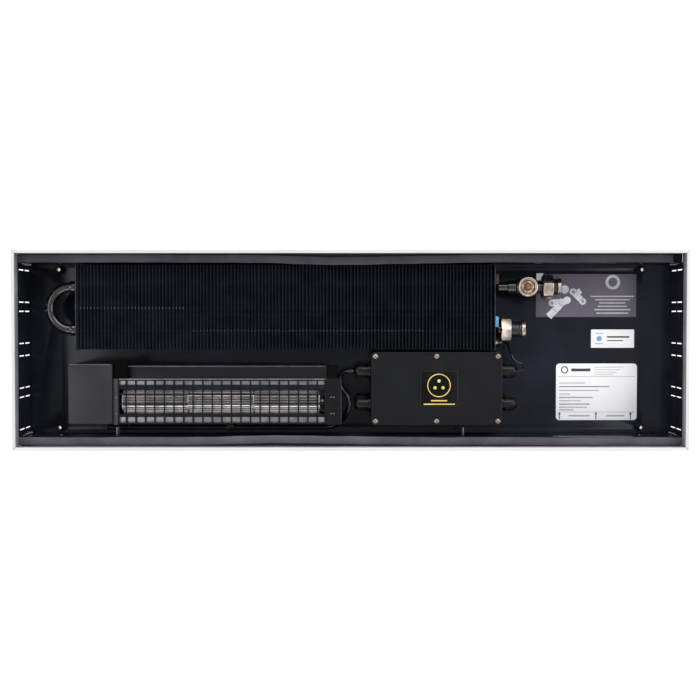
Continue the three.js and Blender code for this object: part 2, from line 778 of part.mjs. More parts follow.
function ventScrew() {
  const head = rodZ(VENT_SCREW_RADIUS, 0, VENT_SCREW_HEIGHT, 12);
  const half = VENT_SLOT_WIDTH / 2;
  const reach = VENT_SCREW_RADIUS + 1;
  const low = VENT_SCREW_HEIGHT - VENT_SLOT_DEPTH;
  return cut(head, block(-reach, reach, -half, half, low, VENT_SCREW_HEIGHT + 1));
}

// A hexagon nut along X through the origin, with a bevelled edge at both ends.
function unionNut() {
  const corner = NUT_ACROSS_FLATS / 2 / Math.cos(Math.PI / 6);
  const bevel = [
    [0, 0],
    [corner - 1.5 * NUT_BEVEL, 0],
    [corner, NUT_BEVEL],
    [corner, NUT_LENGTH - NUT_BEVEL],
    [corner - 1.5 * NUT_BEVEL, NUT_LENGTH],
    [0, NUT_LENGTH],
  ];
  const hexagon = solid(prismX(roundSection(corner, 6), 0, NUT_LENGTH));
  const rounded = hexagon.intersect(solid(turnedX(bevel, 18)));
  return geometryOf(rounded.subtract(solid(rodX(TAIL_RADIUS + GAP, -1, NUT_LENGTH + 1, 16))));
}

// The tail that a valve screws on, turned from a list of [radius, length] steps, with a bore right through.
function tail(steps) {
  const points = [];
  let x = 0;
  for (const [radius, length] of steps) {
    points.push([radius, x], [radius, x + length]);
    x += length;
  }
  const first = [TAIL_BORE_RADIUS, 0];
  return turnedX([first, ...points, [TAIL_BORE_RADIUS, x], first], 16);
}

function inletTail() {
  return tail([
    [TAIL_RADIUS, NUT_LENGTH + GAP],
    [TAIL_GROOVE_RADIUS, TAIL_GROOVE_LENGTH],
    [TAIL_RING_RADIUS, TAIL_RING_LENGTH],
  ]);
}

function returnTail() {
  return tail([
    [TAIL_RADIUS, NUT_LENGTH + GAP],
    [SLEEVE_RADIUS, SLEEVE_LENGTH],
    [TAIL_RING_RADIUS, RETURN_RING_LENGTH],
  ]);
}

function exchanger() {
  const inlet = groupOf(
    0,
    INLET_Y,
    TUBE_Z,
    piece("inlet_marker", marker(), redPlastic, EXCHANGER_X1 + GAP),
    piece("vent_tee", ventTee(), nickel, TEE_X),
    piece("vent_screw", ventScrew(), brass, VENT_X, 0, VENT_HEIGHT - VENT_RECESS + GAP),
    piece("inlet_union_nut", unionNut().rotateX(INLET_NUT_TURN), nickel, INLET_NUT_X),
    piece("inlet_tail", inletTail(), nickel, INLET_NUT_X),
  );
  const outlet = groupOf(
    0,
    RETURN_Y,
    TUBE_Z,
    piece("return_marker", marker(), bluePlastic, EXCHANGER_X1 + GAP),
    piece("return_union_nut", unionNut().rotateX(RETURN_NUT_TURN), nickel, RETURN_NUT_X),
    piece("return_tail", returnTail(), nickel, RETURN_NUT_X),
  );
  return groupOf(
    0,
    0,
    0,
    piece("fin_pack", finPack(), matBlackPaint),
    piece("exchanger_plate_left", exchangerPlate(1), matBlackPaint, EXCHANGER_X0),
    piece("exchanger_plate_right", rightPlate(), matBlackPaint, EXCHANGER_X1),
    piece("heating_tube", heatingTube(), matBlackPaint),
    inlet,
    outlet,
  );
}

// ---------------------------------------------------------- cross-flow fan
// The fan's pieces are drawn about the axis of its impeller.

// A quarter ellipse under the impeller, from the front wall to the lowest point.
function scroll(halfWidth, drop) {
  return Array.from({ length: SCROLL_STEPS + 1 }, (_, i) => {
    const angle = ((i / SCROLL_STEPS) * Math.PI) / 2;
    return [-halfWidth * Math.cos(angle), -drop * Math.sin(angle)];
  });
}

function fanVolute() {
  const flangeEdge = -SCROLL_HALF_WIDTH - FAN_SHEET + FLANGE_WIDTH;
  const outer = scroll(SCROLL_HALF_WIDTH + FAN_SHEET, SCROLL_DROP + FAN_SHEET);
  const inner = scroll(SCROLL_HALF_WIDTH, SCROLL_DROP);
  const mouth = -SCROLL_DROP + OUTLET_RISE;
  const points = [
    [flangeEdge, FLANGE_HEIGHT],
    [-SCROLL_HALF_WIDTH - FAN_SHEET, FLANGE_HEIGHT],
    ...outer,
    [OUTLET_REACH, mouth - FAN_SHEET],
    [OUTLET_REACH, mouth],
    ...inner.reverse(),
    [-SCROLL_HALF_WIDTH, FLANGE_HEIGHT - FAN_SHEET],
    [flangeEdge, FLANGE_HEIGHT - FAN_SHEET],
  ];
  return prismX(points, FAN_X0 + GAP, FAN_X1 - GAP);
}

// The tongue behind the impeller, the rear flange under the guard and the roof of the outlet, in one fold.
function fanTongue() {
  const tongue = IMPELLER_RADIUS + TONGUE_BEHIND;
  const web = SCROLL_HALF_WIDTH + FAN_SHEET;
  const under = FLANGE_HEIGHT - FAN_SHEET;
  const points = [
    [tongue - TONGUE_LIP, FLANGE_HEIGHT],
    [tongue - TONGUE_LIP, under],
    [tongue, under],
    [tongue, under - TONGUE_DROP],
    [tongue + FAN_SHEET, under - TONGUE_DROP],
    [tongue + FAN_SHEET, under],
    [web, under],
    [web, ROOF_HEIGHT - FAN_SHEET],
    [OUTLET_REACH, ROOF_HEIGHT - FAN_SHEET],
    [OUTLET_REACH, ROOF_HEIGHT],
    [web + FAN_SHEET, ROOF_HEIGHT],
    [web + FAN_SHEET, FLANGE_HEIGHT],
  ];
  return prismX(points, FAN_X0 + GAP, FAN_X1 - GAP);
}

// A side plate of the fan at x = 0 to its sheet, high over the impeller and low over the outlet.
function sidePlate(boreRadius) {
  const front = -SCROLL_HALF_WIDTH - 2 * FAN_SHEET;
  const step = SCROLL_HALF_WIDTH + 2 * FAN_SHEET;
  const points = [
    [front, FAN_BASE],
    [OUTLET_REACH, FAN_BASE],
    [OUTLET_REACH, ROOF_HEIGHT],
    [step, ROOF_HEIGHT],
    [step, PLATE_TOP],
    [front, PLATE_TOP],
  ];
  return cut(prismX(points, 0, FAN_SHEET), rodX(boreRadius, -FAN_SHEET, 2 * FAN_SHEET, 12));
}

function leftPlateOfFan() {
  const front = -SCROLL_HALF_WIDTH - 2 * FAN_SHEET;
  const step = SCROLL_HALF_WIDTH + 2 * FAN_SHEET;
  const flange = block(-LEFT_FLANGE, FAN_SHEET, front, step, PLATE_TOP - FAN_SHEET, PLATE_TOP);
  return joined(sidePlate(SHAFT_HOLE), flange);
}

function rightPlateOfFan() {
  const front = -SCROLL_HALF_WIDTH - 2 * FAN_SHEET;
  const step = SCROLL_HALF_WIDTH + 2 * FAN_SHEET;
  const edge = FAN_SHEET + RIGHT_FLANGE;
  const footEnd = FAN_SHEET + FAN_FOOT;
  return joined(
    sidePlate(BUSH_SPIGOT + GAP),
    block(0, edge, front, step, PLATE_TOP - FAN_SHEET, PLATE_TOP),
    block(edge - FAN_SHEET, edge, front, step, PLATE_TOP - RIGHT_LIP, PLATE_TOP),
    block(0, footEnd, front, OUTLET_REACH, FAN_BASE, FAN_BASE + FAN_SHEET),
  );
}

// The guard lies on the two flanges: a plate pierced between its wires and bars.
function fanGuard() {
  const x0 = FAN_X0 + GAP;
  const x1 = FAN_X1 - GAP;
  const half = SCROLL_HALF_WIDTH + FAN_SHEET - GAP;
  const spans = [];
  let start = x0 + GUARD_RIM;
  for (let x = x0 + GUARD_FIRST_WIRE; x < x1 - GUARD_RIM - GUARD_WIRE; x += GUARD_PITCH) {
    spans.push([start, x - GUARD_WIRE / 2]);
    start = x + GUARD_WIRE / 2;
  }
  spans.push([start, x1 - GUARD_RIM]);
  const rows = [];
  let top = half - GUARD_RIM;
  for (const { offset, width } of GUARD_BARS) {
    rows.push([offset + width / 2, top]);
    top = offset - width / 2;
  }
  rows.push([-half + GUARD_RIM, top]);
  const z = FLANGE_HEIGHT + GAP;
  const holes = rows.flatMap(([y0, y1]) =>
    spans.map(([a, b]) => block(a, b, y0, y1, z - 1, z + GUARD_THICKNESS + 1)),
  );
  return cut(block(x0, x1, -half, half, z, z + GUARD_THICKNESS), ...holes);
}

// Discs at the ends and between the segments, joined by slanted blades near the rim.
function impeller() {
  const pitch = (IMPELLER_X1 - IMPELLER_X0) / IMPELLER_SEGMENTS;
  const discs = Array.from({ length: IMPELLER_SEGMENTS + 1 }, (_, i) => {
    const x = IMPELLER_X0 + i * pitch;
    return solid(rodX(IMPELLER_RADIUS, x - IMPELLER_DISC / 2, x + IMPELLER_DISC / 2, 20));
  });
  const reach = IMPELLER_RADIUS - BLADE_DEPTH / 2 - BLADE_INSET;
  const blades = Array.from({ length: BLADE_COUNT }, (_, i) => {
    const blade = new THREE.BoxGeometry(IMPELLER_X1 - IMPELLER_X0, BLADE_THICKNESS, BLADE_DEPTH);
    blade.rotateX(BLADE_ANGLE).translate((IMPELLER_X0 + IMPELLER_X1) / 2, 0, reach);
    return solid(blade.rotateX((i / BLADE_COUNT) * 2 * Math.PI));
  });
  return geometryOf(wasm.Manifold.union([...discs, ...blades]));
}

function bearingBush() {
  const bore = SHAFT_RADIUS + SHAFT_CLEARANCE;
  const profile = [
    [bore, -BUSH_LENGTH - GAP],
    [BUSH_RADIUS, -BUSH_LENGTH - GAP],
    [BUSH_RADIUS, -GAP],
    [BUSH_SPIGOT, -GAP],
    [BUSH_SPIGOT, FAN_SHEET],
    [bore, FAN_SHEET],
    [bore, -BUSH_LENGTH - GAP],
  ];
  return turnedX(profile, 16);
}

// The motor ends in a square flange against the left plate at x = 0, with a hole for its shaft.
function fanMotor() {
  const half = MOTOR_FLANGE / 2;
  const flange = block(-MOTOR_FLANGE_THICKNESS, 0, -half, half, -half, half);
  const can = rodX(MOTOR_RADIUS, -MOTOR_LENGTH, -MOTOR_FLANGE_THICKNESS / 2, 16);
  const hole = rodX(SHAFT_RADIUS + SHAFT_CLEARANCE, -MOTOR_SHAFT_DEPTH, 1, 12);
  return cut(joined(flange, can), hole);
}

// A shell open at the bottom, with a portal in its right wall for the motor.
function motorCover() {
  const low = FAN_BASE;
  const top = SHEET + COVER_TOP - FAN_Z;
  const wall = COVER_WALL;
  const portal = MOTOR_FLANGE / 2 + PORTAL_CLEARANCE;
  return cut(
    roundedBlock(
      COVER_X0,
      COVER_X1,
      -COVER_FRONT,
      COVER_REAR,
      low - 2 * COVER_BEVEL,
      top,
      COVER_CORNER,
      COVER_BEVEL,
    ),
    block(COVER_X0 - 1, COVER_X1 + 1, -COVER_FRONT - 1, COVER_REAR + 1, low - 9, low),
    block(
      COVER_X0 + wall,
      COVER_X1 - wall,
      -COVER_FRONT + wall,
      COVER_REAR - wall,
      low - 1,
      top - wall,
    ),
    block(COVER_X1 - 2 * wall, COVER_X1 + 1, -portal, portal, low - 1, portal),
  );
}

function damperBlock() {
  const x0 = FAN_X0 - FAN_SHEET - LEFT_FLANGE + GAP;
  const y0 = SCROLL_HALF_WIDTH + 2 * FAN_SHEET + GAP;
  const z0 = ROOF_HEIGHT + GAP;
  return roundedBlock(
    x0,
    x0 + DAMPER_LENGTH,
    y0,
    y0 + DAMPER_DEPTH,
    z0,
    z0 + DAMPER_HEIGHT,
    DAMPER_CORNER,
    DAMPER_BEVEL,
  );
}

function fan() {
  const motorFace = FAN_X0 - FAN_SHEET - GAP;
  const shaftStart = motorFace - MOTOR_SHAFT_DEPTH + 1;
  const disc = IMPELLER_DISC / 2 + GAP;
  const idlerEnd = FAN_X1 + FAN_SHEET + SHAFT_END;
  return groupOf(
    0,
    FAN_Y,
    FAN_Z,
    piece("fan_volute", fanVolute(), zincSheet),
    piece("fan_tongue", fanTongue(), blackPaint),
    piece("fan_plate_left", leftPlateOfFan(), blackPaint, FAN_X0 - FAN_SHEET),
    piece("fan_plate_right", rightPlateOfFan(), blackPaint, FAN_X1),
    piece("fan_guard", fanGuard(), matBlackPaint),
    piece("impeller", impeller(), silverBlade),
    piece("drive_shaft", rodX(SHAFT_RADIUS, shaftStart, IMPELLER_X0 - disc, 12), steel),
    piece("idler_shaft", rodX(SHAFT_RADIUS, IMPELLER_X1 + disc, idlerEnd, 12), steel),
    piece("bearing_bush", bearingBush(), blackPlastic, FAN_X1),
    piece("fan_motor", fanMotor(), steel, motorFace),
    piece("motor_cover", motorCover(), blackPaint),
    piece("damper_block", damperBlock(), rubber),
  );
}

// ------------------------------------------------------------ electrical box

function screwPlaces() {
  const xs = [BOX_X0 + SCREW_INSET, (BOX_X0 + BOX_X1) / 2, BOX_X1 - SCREW_INSET];
  const ys = [BOX_Y0 + BOX_DEPTH - SCREW_INSET, BOX_Y0 + SCREW_INSET];
  return ys.flatMap((y) => xs.map((x) => [x, y]));
}

// The box: an open shell with a boss under each screw, ribs for the board and holes for the glands.
function terminalBox() {
  const y1 = BOX_Y0 + BOX_DEPTH;
  const outer = prismZ(roundedOutline(BOX_X0, BOX_X1, BOX_Y0, y1, BOX_CORNER), FLOOR, BOX_TOP);
  const hollow = prismZ(
    roundedOutline(
      BOX_X0 + BOX_WALL,
      BOX_X1 - BOX_WALL,
      BOX_Y0 + BOX_WALL,
      y1 - BOX_WALL,
      BOX_CORNER - BOX_WALL,
    ),
    FLOOR + BOX_WALL,
    BOX_TOP + 1,
  );
  const shell = solid(outer).subtract(solid(hollow));
  const bosses = screwPlaces().map(([x, y]) =>
    solid(rodZ(BOSS_RADIUS, FLOOR + 1, BOX_TOP, 8).translate(x, y, 0)),
  );
  const ribs = [-1, 1].map((side) => {
    const x = (BOX_X0 + BOX_X1) / 2 + side * (BOARD_LENGTH / 2 - RIB_WIDTH);
    const low = FLOOR + 1;
    const high = FLOOR + BOX_WALL + RIB_HEIGHT;
    const half = BOARD_DEPTH / 2;
    const rib = block(x - RIB_WIDTH / 2, x + RIB_WIDTH / 2, BOX_Y - half, BOX_Y + half, low, high);
    return solid(rib);
  });
  const screwHole = SCREW_SHANK_RADIUS + SCREW_CLEARANCE;
  const screwHoles = screwPlaces().map(([x, y]) =>
    solid(rodZ(screwHole, BOX_TOP - SCREW_DEPTH - 1, BOX_TOP + 1, 8).translate(x, y, 0)),
  );
  const glandHoles = GLAND_OFFSETS.map((offset) => {
    const hole = rodX(GLAND_THREAD_RADIUS + GAP, BOX_X0 - 1, BOX_X1 + 1, 16);
    return solid(hole.translate(0, BOX_Y + offset, GLAND_Z));
  });
  const body = wasm.Manifold.union([shell, ...bosses, ...ribs]);
  const holes = wasm.Manifold.union([...screwHoles, ...glandHoles]);
  return geometryOf(body.subtract(holes));
}

function boxLid() {
  const z0 = BOX_TOP + GAP;
  const y1 = BOX_Y0 + BOX_DEPTH;
  const lid = roundedBlock(BOX_X0, BOX_X1, BOX_Y0, y1, z0, LID_TOP, BOX_CORNER, LID_BEVEL);
  const hole = rodZ(SCREW_SHANK_RADIUS + SCREW_CLEARANCE, z0 - 1, LID_TOP + 1, 8);
  return cut(lid, ...screwPlaces().map(([x, y]) => hole.clone().translate(x, y, 0)));
}

// A pan-headed screw whose head rests on z = 0.
function lidScrew() {
  const tip = -LID_THICKNESS - SCREW_DEPTH;
  const profile = [
    [0, tip],
    [SCREW_SHANK_RADIUS, tip],
    [SCREW_SHANK_RADIUS, 0],
    [SCREW_HEAD_RADIUS, 0],
    [SCREW_HEAD_RADIUS, SCREW_HEAD_HEIGHT / 2],
    [SCREW_HEAD_RADIUS - SCREW_HEAD_HEIGHT / 2, SCREW_HEAD_HEIGHT],
    [0, SCREW_HEAD_HEIGHT],
  ];
  return turnedZ(profile, 8);
}

// A cable gland that leaves the wall at x = 0 towards +X.
function cableGland() {
  const cap = GLAND_FLANGE + GLAND_GROOVE;
  const profile = [
    [0, -BOX_WALL - GLAND_INSIDE],
    [GLAND_THREAD_RADIUS, -BOX_WALL - GLAND_INSIDE],
    [GLAND_THREAD_RADIUS, GAP],
    [GLAND_FLANGE_RADIUS, GAP],
    [GLAND_FLANGE_RADIUS, GLAND_FLANGE],
    [GLAND_THREAD_RADIUS, GLAND_FLANGE],
    [GLAND_THREAD_RADIUS, cap],
    [GLAND_CAP_RADIUS, cap],
    [GLAND_CAP_RADIUS, GLAND_LENGTH - GLAND_NOSE],
    [(GLAND_CAP_RADIUS + GLAND_END_RADIUS) / 2, GLAND_LENGTH - GLAND_NOSE / 4],
    [GLAND_END_RADIUS, GLAND_LENGTH],
    [0, GLAND_LENGTH],
  ];
  return turnedX(profile, 12);
}

// A lead sampled by its points, so that its bends get more steps than its straight runs.
class LeadPath extends THREE.CatmullRomCurve3 {
  getPointAt(u, target) {
    return this.getPoint(u, target);
  }

  getTangentAt(u, target) {
    return this.getTangent(u, target);
  }
}

// A lead through stretches of points, each counted from its own anchor.
function lead(stretches, radius) {
  const points = stretches.flatMap(([anchor, offsets]) =>
    offsets.map((offset) => new THREE.Vector3(...anchor).add(new THREE.Vector3(...offset))),
  );
  const path = new LeadPath(points);
  const section = new THREE.Shape(outline(roundSection(radius, 8)));
  const steps = (points.length - 1) * LEAD_STEPS;
  return new THREE.ExtrudeGeometry(section, { steps, extrudePath: path });
}

function fanLead() {
  const cover = [COVER_X1, -WALL_Y, FLOOR];
  const box = [BOX_X0, -WALL_Y, FLOOR];
  const gland = [BOX_X0 - GLAND_LENGTH - GAP, BOX_Y + GLAND_OFFSETS[0], GLAND_Z];
  const stretches = [
    [cover, FAN_LEAD_FROM_COVER],
    [box, FAN_LEAD_TO_BOX],
    [gland, FAN_LEAD_TO_GLAND],
  ];
  return lead(stretches, FAN_LEAD_RADIUS);
}

// The middle of the earth screw on its tab.
function earthPlace() {
  const x = EXCHANGER_X1 + EARTH_TAB_LENGTH / 2;
  const y = EXCHANGER_Y0 + EARTH_TAB_INSET + EARTH_TAB_WIDTH / 2;
  return [x, y, FLOOR + PLATE_SHEET + GAP];
}

function earthLead() {
  const [x, y, z] = earthPlace();
  const gland = [BOX_X1 + GLAND_LENGTH + GAP, BOX_Y + GLAND_OFFSETS[0], GLAND_Z];
  const lug = [x + EARTH_LUG_REACH + GAP, y, z + EARTH_LUG_RADIUS];
  const stretches = [
    [gland, EARTH_LEAD_FROM_GLAND],
    [lug, EARTH_LEAD_TO_LUG],
  ];
  return lead(stretches, EARTH_LEAD_RADIUS);
}

function leadClip() {
  const [, leadOffset, leadHeight] = FAN_LEAD_TO_BOX[0];
  const leadY = leadOffset - WALL_Y;
  const leadZ = FLOOR + leadHeight;
  const half = CLIP_LENGTH / 2;
  const clip = block(-half, half, -CLIP_WIDTH / 2, CLIP_WIDTH / 2, FLOOR, FLOOR + CLIP_HEIGHT);
  const bore = rodX(FAN_LEAD_RADIUS + GAP, -half - 1, half + 1, 12).translate(0, 0, leadZ);
  return cut(clip, bore).translate(BOX_X0 - CLIP_FROM_BOX, leadY, 0);
}

// A screw through the ring of a crimped lug, whose barrel points along X to the end of the earth lead.
function earthScrew() {
  const profile = [
    [0, 0],
    [EARTH_SCREW_RADIUS, 0],
    [EARTH_SCREW_RADIUS, EARTH_SCREW_HEIGHT - 1],
    [EARTH_SCREW_RADIUS - 1, EARTH_SCREW_HEIGHT],
    [0, EARTH_SCREW_HEIGHT],
  ];
  const [x, y, z] = earthPlace();
  const barrel1 = x + EARTH_LUG_REACH;
  const barrel0 = barrel1 - EARTH_LUG_LENGTH;
  const half = EARTH_LUG_RADIUS - GAP;
  return joined(
    turnedZ(profile, 12).translate(x, y, z),
    block(x, barrel0 + 1, y - half, y + half, z, z + EARTH_LUG_RADIUS),
    rodX(EARTH_LUG_RADIUS, barrel0, barrel1, 8).translate(0, y, z + EARTH_LUG_RADIUS),
  );
}

// A component on the board, whose left end is at x = 0 and whose middle is at y = 0.
function component({ fromBoardEnd, length, depth, height }) {
  return block(fromBoardEnd, fromBoardEnd + length, -depth / 2, depth / 2, 0, height);
}

function electrics() {
  const midX = (BOX_X0 + BOX_X1) / 2;
  const board0 = midX - BOARD_LENGTH / 2;
  const halfBoard = BOARD_DEPTH / 2;
  const boardTop = BOARD_Z + BOARD_THICKNESS;
  const board = block(0, BOARD_LENGTH, -halfBoard, halfBoard, 0, BOARD_THICKNESS);
  const componentZ = boardTop + GAP;
  const pieces = [
    piece("terminal_box", terminalBox(), blackPlastic),
    piece("terminal_box_lid", boxLid(), blackPlastic),
    piece("control_board", board, greenBoard, board0, BOX_Y, BOARD_Z),
    piece("transformer", component(TRANSFORMER), steel, board0, BOX_Y, componentZ),
    piece("terminal_block", component(TERMINAL_BLOCK), whiteLabel, board0, BOX_Y, componentZ),
    piece("fan_lead", fanLead(), rubber),
    piece("lead_clip", leadClip(), blackPlastic),
    piece("earth_lead", earthLead(), rubber),
    piece("earth_screw", earthScrew(), steel),
  ];
  screwPlaces().forEach(([x, y], i) => {
    pieces.push(piece(`lid_screw_${i + 1}`, lidScrew(), nickel, x, y, LID_TOP + SCREW_SEAT));
  });
  GLAND_OFFSETS.forEach((offset, i) => {
    const y = BOX_Y + offset;
    const leftGland = cableGland().rotateZ(Math.PI);
    pieces.push(piece(`cable_gland_right_${i + 1}`, cableGland(), blackPlastic, BOX_X1, y, GLAND_Z));
    pieces.push(piece(`cable_gland_left_${i + 1}`, leftGland, blackPlastic, BOX_X0, y, GLAND_Z));
  });
  return groupOf(0, 0, 0, ...pieces);
}

// -------------------------------------------------------------------- labels

// A label on the floor, placed by its distances from the right end and the rear wall.
function floorLabel({ fromEnd, fromWall, length, depth }, corner) {
  const x1 = RIGHT - fromEnd;
  const y1 = WALL_Y - fromWall;
  const points = roundedOutline(x1 - length, x1, y1 - depth, y1, corner, 3);
  const z = SHEET + LABEL_SEAT;
  return prismZ(points, z, z + LABEL_THICKNESS);
}

function lidLabel() {
  const midX = (BOX_X0 + BOX_X1) / 2;
  const x0 = midX + LID_LABEL_SHIFT - LID_LABEL_LENGTH / 2;
  const y0 = BOX_Y - LID_LABEL_DEPTH / 2;
  const z = LID_TOP + LABEL_SEAT;
  const points = roundedOutline(x0, x0 + LID_LABEL_LENGTH, y0, y0 + LID_LABEL_DEPTH, 1, 2);
  return prismZ(points, z, z + LABEL_THICKNESS);
}

function labels() {
  return groupOf(
    0,
    0,
    0,
    piece("connection_label", floorLabel(CONNECTION_LABEL, 0.5), mauveLabel),
    piece("small_label", floorLabel(SMALL_LABEL, 1), whiteLabel),
    piece("rating_label", floorLabel(RATING_LABEL, LABEL_CORNER), whiteLabel),
    piece("lid_label", lidLabel(), blackLabel),
  );
}

const heater = new THREE.Group();
heater.name = "trench_convector_heater";
heater.add(casing(), exchanger(), fan(), electrics(), labels());

export default heater;
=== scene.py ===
# %% [markdown]
# # A trench convector heater
# This heater is let into the floor in front of a window. Its grille is lifted out here, so the camera
# looks straight down on the fan, the heat exchanger and the electrical box in a black sheet-steel trough.
# The exact solids come first, as a fixed frame. Everything that follows either gives one of them a better
# finish or stands for it with a finer mesh, in the same place and at the same size.

# %% Load the frame
import math

import bmesh
import bpy
from mathutils import Matrix, Vector


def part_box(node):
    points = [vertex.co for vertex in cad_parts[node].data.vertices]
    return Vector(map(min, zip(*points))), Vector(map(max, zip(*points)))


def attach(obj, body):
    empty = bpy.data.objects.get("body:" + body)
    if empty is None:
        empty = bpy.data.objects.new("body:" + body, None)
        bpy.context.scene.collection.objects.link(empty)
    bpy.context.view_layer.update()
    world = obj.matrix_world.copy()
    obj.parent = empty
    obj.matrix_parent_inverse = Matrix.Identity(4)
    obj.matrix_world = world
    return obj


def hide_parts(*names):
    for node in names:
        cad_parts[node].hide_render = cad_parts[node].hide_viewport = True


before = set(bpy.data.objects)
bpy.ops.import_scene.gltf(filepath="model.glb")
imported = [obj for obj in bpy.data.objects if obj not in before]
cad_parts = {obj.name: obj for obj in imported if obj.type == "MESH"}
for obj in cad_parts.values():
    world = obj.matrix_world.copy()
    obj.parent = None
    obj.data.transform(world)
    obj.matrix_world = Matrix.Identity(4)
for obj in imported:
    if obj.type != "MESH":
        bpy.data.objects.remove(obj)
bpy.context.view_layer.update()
MM = 0.001

# %% [markdown]
# ## The view
# The photograph is taken from about 1.5 m above the floor, with the camera tipped by less than two
# degrees. A fairly long lens keeps the trough's upright walls narrow in the picture.

# %% Camera
CAMERA_PLACE = (-0.64 * MM, 42.32 * MM, 1.5)
CAMERA_TILT = math.radians(-1.681)
LENS_MM = 61.62
SENSOR_MM = 36

camera_data = bpy.data.cameras.new("camera")
camera_data.lens = LENS_MM
camera_data.sensor_width = SENSOR_MM
camera = bpy.data.objects.new("camera", camera_data)
camera.location = CAMERA_PLACE
camera.rotation_euler = (CAMERA_TILT, 0, 0)
bpy.context.scene.collection.objects.link(camera)
bpy.context.scene.camera = camera
bpy.context.scene.view_settings.view_transform = "Standard"
print("camera at", tuple(camera.location))

# %% [markdown]
# ## Colours and nodes
# Colours are written as the hex values that a paint chart or a colour picker gives. Blender works in
# linear light, so one function turns them. One more function adds a shader or geometry node with its
# settings and links, which keeps every finish below to a few readable lines.

# %% Colour and node helpers
def linear(hex_colour):
    """An sRGB hex colour as the linear values that a shader takes."""
    channels = [int(hex_colour[i : i + 2], 16) / 255 for i in (1, 3, 5)]
    turned = [c / 12.92 if c <= 0.04045 else ((c + 0.055) / 1.055) ** 2.4 for c in channels]
    return (*turned, 1.0)


def add(tree, kind, inputs=None, **settings):
    """A new node. An input is a plain value, or another node's output socket to link from."""
    made = tree.nodes.new(kind)
    for name, value in settings.items():
        setattr(made, name, value)
    for name, value in (inputs or {}).items():
        socket = made.inputs[name]
        if isinstance(value, bpy.types.NodeSocket):
            tree.links.new(value, socket)
        else:
            socket.default_value = value
    return made


# %% [markdown]
# ## Studio
# The object lies on a pale floor under soft, even light. The floor shows itself to the camera as nearly
# white, through Light Path, and still takes the shadow round the casing. Four large soft boxes give the
# edges their shine: the strongest stands behind the heater, so rear edges and the tops of tubes catch it,
# and one at each end fills the long trough, whose walls would shade it otherwise.

# %% Floor, world and lamps
FLOOR_REACH = 12
FLOOR_GLOW = 0.75
SKY_LEVEL = 0.5


def seen_directly(tree):
    """The socket that is 1 where the camera or a mirror-like surface looks, and 0 elsewhere."""
    path = add(tree, "ShaderNodeLightPath")
    rays = {0: path.outputs["Is Camera Ray"], 1: path.outputs["Is Glossy Ray"]}
    either = add(tree, "ShaderNodeMath", rays, operation="MAXIMUM")
    more = {0: either.outputs[0], 1: path.outputs["Is Transmission Ray"]}
    return add(tree, "ShaderNodeMath", more, operation="MAXIMUM").outputs[0]


def stage_floor():
    """A wide pale floor that the camera and mirror-like surfaces see as almost white."""
    material = bpy.data.materials.new("studio_floor")
    material.use_nodes = True
    tree = material.node_tree
    tree.nodes.clear()
    glow = add(tree, "ShaderNodeMath", {0: seen_directly(tree), 1: FLOOR_GLOW}, operation="MULTIPLY")
    matt = add(tree, "ShaderNodeBsdfDiffuse", {"Color": linear("#dcdcdc")})
    lit = add(tree, "ShaderNodeEmission", {"Strength": glow.outputs[0]})
    both = add(tree, "ShaderNodeAddShader", {0: matt.outputs[0], 1: lit.outputs[0]})
    add(tree, "ShaderNodeOutputMaterial", {"Surface": both.outputs[0]})
    r = FLOOR_REACH
    mesh = bpy.data.meshes.new("floor")
    mesh.from_pydata([(-r, -r, 0), (r, -r, 0), (r, r, 0), (-r, r, 0)], [], [(0, 1, 2, 3)])
    mesh.materials.append(material)
    floor = bpy.data.objects.new("floor", mesh)
    floor.location.z = -0.2 * MM
    bpy.context.scene.collection.objects.link(floor)


def studio_world():
    """Even light, which the camera and mirror-like surfaces see as white."""
    world = bpy.data.worlds.new("studio")
    world.use_nodes = True
    tree = world.node_tree
    tree.nodes.clear()
    levels = {"Value": seen_directly(tree), "To Min": SKY_LEVEL, "To Max": 1.0}
    strength = add(tree, "ShaderNodeMapRange", levels)
    sky = add(tree, "ShaderNodeBackground", {"Strength": strength.outputs[0]})
    add(tree, "ShaderNodeOutputWorld", {"Surface": sky.outputs[0]})
    bpy.context.scene.world = world


def soft_box(name, place, size, watts):
    """A rectangular lamp that points at the heater."""
    data = bpy.data.lights.new(name, "AREA")
    data.shape = "RECTANGLE"
    data.size, data.size_y = size
    data.energy = watts
    lamp = bpy.data.objects.new(name, data)
    lamp.location = place
    lamp.rotation_euler = (-Vector(place)).to_track_quat("-Z", "Y").to_euler()
    bpy.context.scene.collection.objects.link(lamp)


stage_floor()
studio_world()
soft_box("rear_box", (0.3, 1.5, 1.4), (2.2, 0.9), 24)
soft_box("front_box", (-0.3, -1.6, 1.5), (1.8, 0.8), 11)
soft_box("left_box", (-1.7, 0, 1.4), (0.9, 1.2), 14)
soft_box("right_box", (1.7, 0, 1.4), (0.9, 1.2), 14)

# %% [markdown]
# ## Finishes
# Nearly everything in this heater is black, yet no two blacks are alike. The trough and the fan's plates
# are powder coated: a baked paint with a fine orange-peel skin and a soft shine. The fins have a thin
# matt coat. The box is moulded ABS with a spark-eroded grain, and the block by the outlet is dull rubber.
# All finishes share one start: a Principled shader whose colour wanders over the surface, because dust
# and handling never leave it even, and whose bump is a noise with a real grain size in millimetres.

